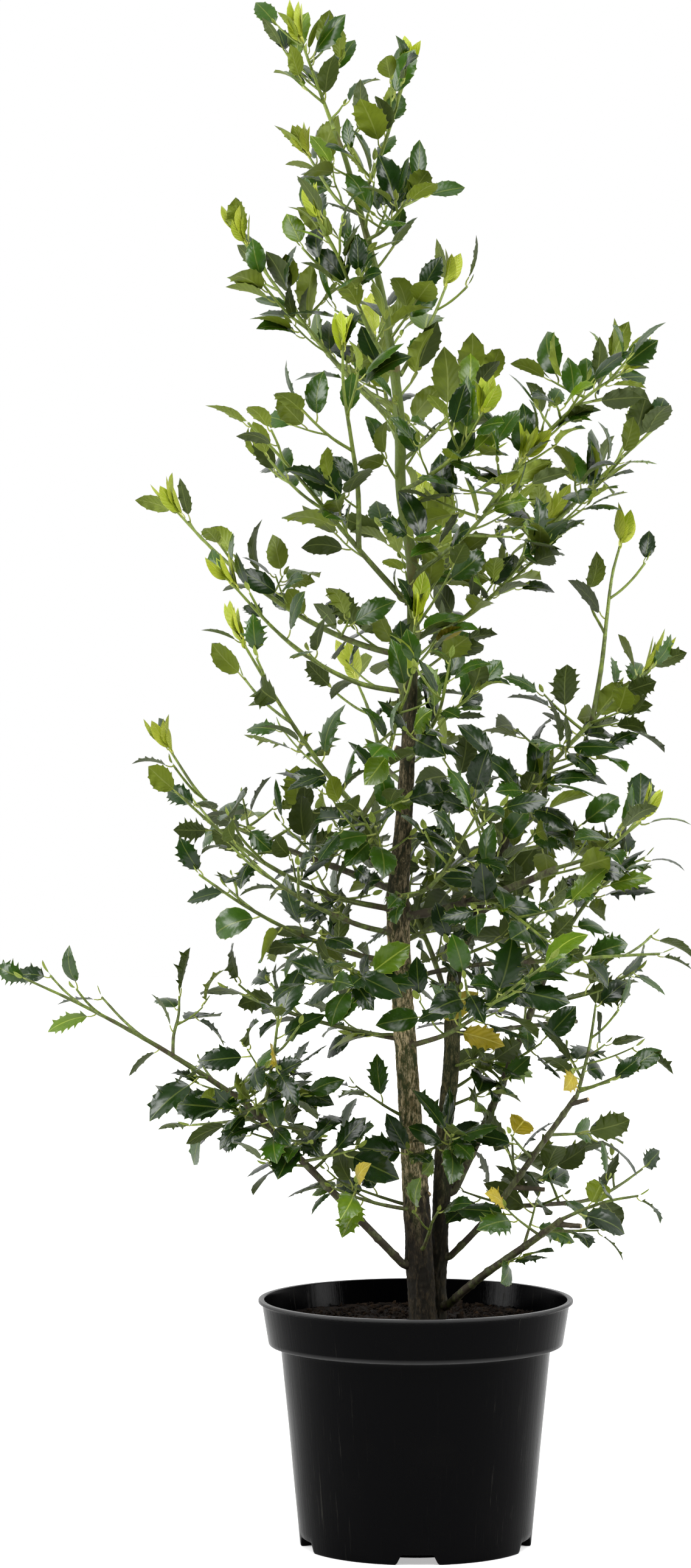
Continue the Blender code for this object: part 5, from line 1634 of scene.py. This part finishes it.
def shoot_finish(look, groups):
    """Shoot bark: green at the tip and brown with age, streaked along and patchy."""
    made, tree, shader = new_finish(look.name)
    old, middle, young = paint(*look.old), paint(*look.middle), paint(*look.young)
    patchy = look.patchy
    age = attribute(tree, "age")
    grain = use(tree, groups["bark"], Scale=300.0, Stretch=0.5)
    cloud = use(tree, groups["mottle"], Scale=70.0)[0]
    age = plus(tree, age, ramp(tree, grain["Streak"], 0.3, 0.7, -patchy, patchy))
    age = plus(tree, age, ramp(tree, cloud, 0.35, 0.65, -patchy, patchy))
    colour = blend(tree, ramp(tree, age, 0.0, 0.5), young, middle)
    colour = blend(tree, ramp(tree, age, 0.5, 1.0), colour, old)
    colour = blend(tree, times(tree, grain["Speck"], 0.35), colour, dimmed(old, 0.45))
    feed(tree, shader, Base_Color=colour, Roughness=ramp(tree, age, 0.0, 1.0, 0.42, 0.75),
         Normal=embossed(tree, grain["Streak"], 0.0006))
    return made


def bark_finish(look, groups):
    """Bark: dark at the foot, pale flakes between cracks, a band of painted shade, then smooth green.

    The smooth bark starts at the height green_from, and one pale ring lies at the height knot.
    """
    made, tree, shader = new_finish(look.name)
    crack, skin, flake = paint(*look.crack), paint(*look.skin), paint(*look.flake)
    green = paint(*look.green)
    ridge = attribute(tree, "ridge")
    grain = use(tree, groups["bark"], Scale=720.0, Stretch=0.34)
    wide_grain = use(tree, groups["bark"], Scale=330.0, Stretch=0.26)
    cloud = use(tree, groups["mottle"], Scale=46.0, Stretch=0.35)[0]
    height = parts_of(tree, coordinates(tree))[2]
    wavy_height = plus(tree, height, ramp(tree, cloud, 0.3, 0.7, -0.04, 0.04))
    near_height = plus(tree, height, ramp(tree, cloud, 0.3, 0.7, -0.003, 0.003))
    rough = plus(tree, times(tree, ridge, 0.35), times(tree, grain["Streak"], 0.65))
    colour = blend(tree, ramp(tree, rough, 0.42, 0.62), skin, flake)
    off_middle = distance_from(tree, wide_grain["Streak"], 0.5)
    cracks = math_node(tree, "MAXIMUM", ramp(tree, off_middle, 0.0, 0.075, 1.0, 0.0),
                       ramp(tree, ridge, 0.10, 0.26, 1.0, 0.0))
    colour = blend(tree, times(tree, cracks, 0.95), colour, crack)
    colour = blend(tree, ramp(tree, cloud, 0.50, 0.64, 0.0, 0.45), colour, crack)
    foot = blend(tree, times(tree, ramp(tree, rough, 0.40, 0.75),
                             ramp(tree, cracks, 0.0, 1.0, 1.0, 0.25)),
                 paint(*look.foot_dark), paint(*look.foot_light))
    # Painted shade: the leaves' shadow on the bark, drawn in the foot's colours.
    painted_shade = times(tree, ramp(tree, wavy_height, *PAINTED_SHADE_FROM), 0.7)
    colour = blend(tree, painted_shade, colour, foot)
    colour = blend(tree, ramp(tree, wavy_height, *DARK_FOOT_UP_TO), foot, colour)
    young = ramp(tree, wavy_height, look.green_from, look.green_from + GREEN_FADE)
    smooth = blend(tree, ramp(tree, grain["Streak"], 0.35, 0.70), green, dimmed(green, 1.35))
    smooth = blend(tree, ramp(tree, cloud, 0.52, 0.68, 0.0, 0.6), smooth, skin)
    colour = blend(tree, young, colour, smooth)
    off_knot = distance_from(tree, near_height, look.knot)
    colour = blend(tree, ramp(tree, off_knot, 0.004, 0.007, 0.9, 0.0), colour, skin)
    feed(tree, shader, Base_Color=colour, Roughness=ramp(tree, young, 0.0, 1.0, 0.88, 0.45),
         Specular_IOR_Level=0.35, Normal=embossed(tree, rough, 0.0012))
    return made


def pot_finish(groups):
    """Black moulded plastic: thin dry runs, paler at its sides as painted reflection, dust and a pale
    lip.

    The runs are noise over the heading round the pot, with a little of the height.
    """
    made, tree, shader = new_finish("black_moulded_plastic")
    edge = attribute(tree, "edge")
    place = coordinates(tree)
    level = vector_node(tree, "MULTIPLY", i_0=place, i_1=(1.0, 1.0, 0.0))
    heading = vector_node(tree, "NORMALIZE", i_0=level)
    lifted = vector_node(tree, "MULTIPLY_ADD", i_0=place, i_1=(0.0, 0.0, 0.40), i_2=heading)
    runs = add_node(tree, "ShaderNodeTexNoise", Vector=lifted, Scale=34.0, Detail=5.0,
                    Roughness=0.7).outputs[0]
    aside = math_node(tree, "ABSOLUTE", parts_of(tree, heading)[0])
    cloud = use(tree, groups["mottle"], Scale=14.0, Detail=4.0)[0]
    fine = use(tree, groups["mottle"], Scale=900.0, Detail=2.0)[0]
    # Painted reflection: the pale runs are kept mostly to the pot's left and right sides.
    runs_and_sheen = times(tree, ramp(tree, runs, 0.60, 0.70), ramp(tree, aside, 0.35, 0.80, 0.12, 1.0))
    runs_and_sheen = times(tree, runs_and_sheen, ramp(tree, cloud, 0.38, 0.55, 0.2, 1.0))
    dust = times(tree, ramp(tree, cloud, 0.50, 0.75), 0.35)
    colour = blend(tree, dust, paint(*POT_BLACK), paint(*POT_DUST))
    colour = blend(tree, times(tree, runs_and_sheen, 0.45), colour, paint(*POT_RUNS_AND_SHEEN))
    # Painted highlight with wear: the pale lines along the lip and the band's foot.
    colour = blend(tree, times(tree, edge, 0.7), colour, paint(*POT_WEAR_AND_HIGHLIGHT))
    rough = plus(tree, ramp(tree, cloud, 0.3, 0.7, 0.09, 0.17), times(tree, runs_and_sheen, 0.3))
    height = plus(tree, times(tree, fine, 0.2), runs)
    feed(tree, shader, Base_Color=colour, Roughness=rough, Specular_IOR_Level=0.04,
         Normal=embossed(tree, height, 0.0002))
    return made


def compost_finish(name, groups, dark, light):
    """Moist compost: brown crumbs with paler fibres."""
    made, tree, shader = new_finish(name)
    cloud = use(tree, groups["mottle"], Scale=160.0, Detail=6.0)[0]
    large = use(tree, groups["mottle"], Scale=30.0)[0]
    share = times(tree, ramp(tree, cloud, 0.42, 0.70), ramp(tree, large, 0.3, 0.7, 0.4, 1.0))
    feed(tree, shader, Base_Color=blend(tree, share, paint(*dark), paint(*light)),
         Roughness=ramp(tree, cloud, 0.3, 0.7, 0.8, 0.98), Specular_IOR_Level=0.12,
         Normal=embossed(tree, cloud, 0.002))
    return made


GROUPS = {"mottle": mottle_group(), "figure": leaf_figure_group(), "bark": bark_group()}
GROWN_FINISHES = [leaf_finish(sheet, GROUPS) for sheet in GROWN_SHEETS]
YOUNG_FINISHES = [leaf_finish(sheet, GROUPS) for sheet in YOUNG_SHEETS]
TRUNK_FINISH = bark_finish(TRUNK_BARK, GROUPS)
DARK_FINISH = bark_finish(DARK_BARK, GROUPS)
SHOOT_FINISH = shoot_finish(SHOOT_BARK, GROUPS)
BOUGH_FINISH = shoot_finish(BOUGH_BARK, GROUPS)
CUT_FINISH = shoot_finish(CUT_WOOD, GROUPS)


# The pieces, each in its own place.
def dress_stem(name, line, columns, heights, seed, bark_top, limbs, finish):
    """One stem with its bark."""
    joints = joints_on(name, limbs[name])
    rings, poles, ridge = stem_surface(line, columns, heights, seed, joints, bark_top)
    bunch = Bunch()
    bunch.add(rings, poles, ridge)
    bunch.piece(f"{name}_bark", [finish], "ridge", nodes=[name],
                slot="bark" if name == "trunk" else "dark_bark")


def dress_boughs(limbs):
    """The boughs as one mesh, each rooted in its stem."""
    bunch = Bunch()
    for seed, bough in enumerate(BOUGHS):
        path, radii = limbs[bough.name]
        centre = along(*limbs[bough.carrier], bough.share)[0]
        fine, size = finer(*rooted(path, radii, centre), BOUGH_RINGS)
        bumps = knobbly(fine, *BOUGH_SCARS, BOUGH_SIDES, seed)
        rings, poles = tube(fine, size, BOUGH_SIDES, bumps)
        age = np.linspace(*BOUGH_AGES, len(fine))[:, None]
        bunch.add(rings, poles, age)
    bunch.piece("bough_bark", [BOUGH_FINISH], "age", nodes=BOUGH_NODES, slot="dark_bark")


def dress_stubs(limbs):
    """Short cut stubs with flat pale ends on the stems and boughs.

    The last ring lies just past the one before it and is a little smaller, for a crisp edge.
    """
    bunch = Bunch()
    for seed, stub in enumerate(STUBS):
        rng = random.Random(f"stub {seed}")
        shape = (stub.heading, stub.reach, stub.rise, STUB_BOW)
        path = limb_path(limbs[stub.carrier], stub.share, shape, STUB_STEP, rng)
        radii = taper(path, stub.radius * STUB_TAPER[0], stub.radius * STUB_TAPER[1])
        fine, size = finer(path, radii, STUB_RINGS)
        fine = np.vstack([fine, fine[-1] + unit(fine[-1] - fine[-2]) * STUB_EDGE])
        size = np.append(size, size[-1] * STUB_FACE_SHARE)
        bumps = knobbly(fine, *STUB_SCARS, STUB_SIDES, seed)
        rings, poles = tube(fine, size, STUB_SIDES, bumps)
        poles[1] = fine[-1]
        age = np.where(np.arange(len(fine)) < len(fine) - 1, 1.0, 0.0)[:, None]
        bunch.add(rings, poles, age)
    bunch.piece("cut_stubs", [CUT_FINISH], "age", slot="dark_bark")


def dress_shoots(limbs, twigs):
    """Every shoot and twig as one mesh of thin tubes, green where young and brown where old."""
    bunch = Bunch()
    for seed, twig in enumerate(twigs):
        path, radii = twig.path, twig.radii
        if twig.parent in limbs:
            carrier = limbs[twig.parent][0]
            nearest = carrier[np.argmin(np.linalg.norm(carrier - path[0], axis=1))]
            inward = nearest * SHOOT_ROOT_SHARE + path[0] * (1 - SHOOT_ROOT_SHARE)
            path, radii = rooted(path, radii, inward)
        fine, size = finer(path, radii, SHOOT_RINGS)
        bumps = knobbly(fine, *SHOOT_SCARS, SHOOT_SIDES, seed)
        rings, poles = tube(fine, size, SHOOT_SIDES, bumps)
        low = np.clip((SHOOT_OLD_HEIGHT - fine[:, 2].mean()) / SHOOT_OLD_STRETCH, 0.0, 1.0)
        thick = (size - SHOOT_OLD_RADIUS) / SHOOT_OLD_RADIUS * SHOOT_THICK_SHARE
        age = np.clip(low * SHOOT_OLD_SHARE + thick, 0.0, 1.0)[:, None]
        bunch.add(rings, poles, age)
    bunch.piece("shoot_bark", [SHOOT_FINISH], "age", nodes=MASSES)


def dress_leaves(leaves):
    """Grown leaves in three tiers and young ones, each as one mesh.

    A yellow leaf is the one nearest its place in the photo, with those behind held back.
    """
    grown = [leaf for leaf in leaves if leaf.kind == "grown"]
    young = [leaf for leaf in leaves if leaf.kind != "grown"]
    rng = random.Random("finishes")
    middles = np.array([leaf.foot + leaf.way * leaf.length * LEAF_MIDDLE for leaf in grown])
    behind = HELD_BACK * np.maximum(middles[:, 1] - HELD_BACK_FROM, 0.0)
    aside = [np.hypot(middles[:, 0] - x, middles[:, 2] - z) for x, z in YELLOWED]
    yellow = {int(np.argmin(distance + behind)) for distance in aside}
    palettes = []
    for number, leaf in enumerate(grown):
        low = float(how_low(leaf.foot[2]))
        fresh = FRESH_SHARE[0] + FRESH_SHARE[1] * (1 - low)
        if leaf.twig.startswith(FRESH_MASSES):
            fresh = FRESH_IN_MASSES
        deep = (DEEP_SHARE[0] + DEEP_SHARE[1] * low) * (1 - fresh)
        olive = OLIVE_SHARE[0] + OLIVE_SHARE[1] * low
        top = rng.choices((TOP_DEEP, TOP_MID, TOP_FRESH), (deep, 1 - fresh - deep, fresh))[0]
        under = rng.choices((UNDER_OLIVE, UNDER_PALE), (olive, 1 - olive))[0]
        palettes.append((YELLOW, YELLOW, STALK) if number in yellow else (top, under, STALK))
    for seed, (name, floor, ceiling) in enumerate(LEAF_TIERS):
        chosen = [i for i, leaf in enumerate(grown) if floor <= leaf.foot[2] < ceiling]
        leaf_piece(name, [grown[i] for i in chosen], [palettes[i] for i in chosen],
                   GROWN_FINISHES, 7 + 10 * seed)
    looks = {"lush": (YOUNG_TOP, YOUNG_UNDER, YOUNG_UNDER), "bud": (BUD_SCALE,) * 3}
    leaf_piece("young_leaves", young, [looks[leaf.kind] for leaf in young], YOUNG_FINISHES, 8)


def dress_pot():
    """The pot, its compost and the loose bits on it."""
    bunch = Bunch()
    bunch.add(*pot_surface())
    bunch.piece("pot_shell", [pot_finish(GROUPS)], "edge", nodes=["pot"], slot="pot", crease=50)
    bed = compost_finish("moist_compost", GROUPS, *COMPOST_BROWNS)
    bits = compost_finish("bark_bits", GROUPS, *BARK_BIT_BROWNS)
    bunch = Bunch()
    bunch.add(*soil_surface(), 0.0)
    bunch.piece("compost_bed", [bed], "tone", nodes=["compost"], slot="compost")
    crumbs(2400, (0.0007, 0.0021), (0.6, 1.3), 31, "compost_crumbs", bed)
    crumbs(150, (0.0012, 0.0026), (0.5, 2.6), 32, "compost_bits", bits)


def set_camera():
    """The photo's camera: its frame's height fits the lens, and it looks slightly down."""
    camera = bpy.data.objects.new("camera", bpy.data.cameras.new("camera"))
    bpy.context.scene.collection.objects.link(camera)
    camera.location = CAMERA_PLACE
    distance = -CAMERA_PLACE[1]
    down = math.atan((CAMERA_PLACE[2] - AIM_HEIGHT) / distance)
    camera.rotation_euler = (math.pi / 2 - down, 0.0, 0.0)
    camera.data.sensor_fit = "VERTICAL"
    camera.data.sensor_height = SENSOR
    camera.data.lens = SENSOR * distance / (PHOTO_SIZE[1] * METRES_PER_PIXEL)
    bpy.context.scene.camera = camera


def area_light(name, place, size, power):
    """A soft rectangular light turned to the middle of the tree."""
    light = bpy.data.lights.new(name, "AREA")
    light.shape = "RECTANGLE"
    light.size, light.size_y = size
    light.energy = power
    made = bpy.data.objects.new(name, light)
    made.location = place
    made.rotation_euler = (Vector(LIT_MIDDLE) - Vector(place)).to_track_quat("-Z", "Y").to_euler()
    bpy.context.scene.collection.objects.link(made)


def set_studio():
    """A pale floor that glows to the camera, more so further out, a pale room and soft lights."""
    mesh = bpy.data.meshes.new("floor")
    corners = [(x * FLOOR_REACH, y * FLOOR_REACH, 0) for x, y in ((-1, -1), (1, -1), (1, 1), (-1, 1))]
    mesh.from_pydata(corners, [], [(0, 1, 2, 3)])
    floor = bpy.data.objects.new("floor", mesh)
    bpy.context.scene.collection.objects.link(floor)
    finish, tree, shader = new_finish("pale_floor")
    seen = add_node(tree, "ShaderNodeLightPath").outputs["Is Camera Ray"]
    away = vector_node(tree, "LENGTH", "Value", i_0=coordinates(tree))
    glow = times(tree, seen, ramp(tree, away, 1.0, 3.0, 0.45, 0.9))
    feed(tree, shader, Base_Color=(0.86, 0.86, 0.855, 1.0), Roughness=0.9,
         Emission_Color=(1.0, 1.0, 1.0, 1.0), Emission_Strength=glow)
    mesh.materials.append(finish)
    set_room()
    for light in LIGHTS:
        area_light(*light)
    bpy.context.scene.view_settings.view_transform = "Standard"


def set_room():
    """The room: white to the eye, and as light it is bright behind and overhead and dim in front."""
    world = bpy.data.worlds.new("pale_room")
    bpy.context.scene.world = world
    world.use_nodes = True
    tree = world.node_tree
    apart = parts_of(tree, coordinates(tree, "Generated"))
    behind = ramp(tree, apart[1], -0.35, 0.35, 0.12, 0.85)
    overhead = ramp(tree, apart[2], 0.45, 0.95, 0.0, 0.60)
    light = math_node(tree, "MAXIMUM", behind, overhead)
    seen = add_node(tree, "ShaderNodeLightPath").outputs["Is Camera Ray"]
    strength = math_node(tree, "MAXIMUM", light, seen)
    tree.nodes["Background"].inputs[0].default_value = (1.0, 1.0, 1.0, 1.0)
    tree.links.new(strength, tree.nodes["Background"].inputs[1])


def dress():
    """Every piece of the object."""
    limbs, twigs, leaves = grow()
    foot = SOIL_HEIGHT - STEM_FOOT_SUNK
    heights = np.concatenate([np.arange(foot, TRUNK_FINE_TOP, TRUNK_FINE_STEP),
                              np.arange(TRUNK_FINE_TOP, TRUNK_LINE[-1][0], TRUNK_TOP_STEP)])
    dress_stem("trunk", TRUNK_LINE, TRUNK_COLUMNS, heights, 41, TRUNK_BARK_TOP, limbs,
               TRUNK_FINISH)
    heights = np.arange(foot, RIGHT_STEM_LINE[-1][0], RIGHT_STEM_STEP)
    dress_stem("right_stem", RIGHT_STEM_LINE, RIGHT_STEM_COLUMNS, heights, 42,
               RIGHT_STEM_BARK_TOP, limbs, DARK_FINISH)
    dress_boughs(limbs)
    dress_stubs(limbs)
    kept = clear_leaves(limbs, twigs, leaves)
    leafy = {leaf.twig for leaf in kept if leaf.kind == "grown"}
    twigs = [twig for twig in twigs if twig.parent or twig.name in leafy]
    names = {twig.name for twig in twigs}
    dress_shoots(limbs, twigs)
    dress_leaves([leaf for leaf in kept if leaf.twig in names])
    dress_pot()


dress()
set_camera()
set_studio()
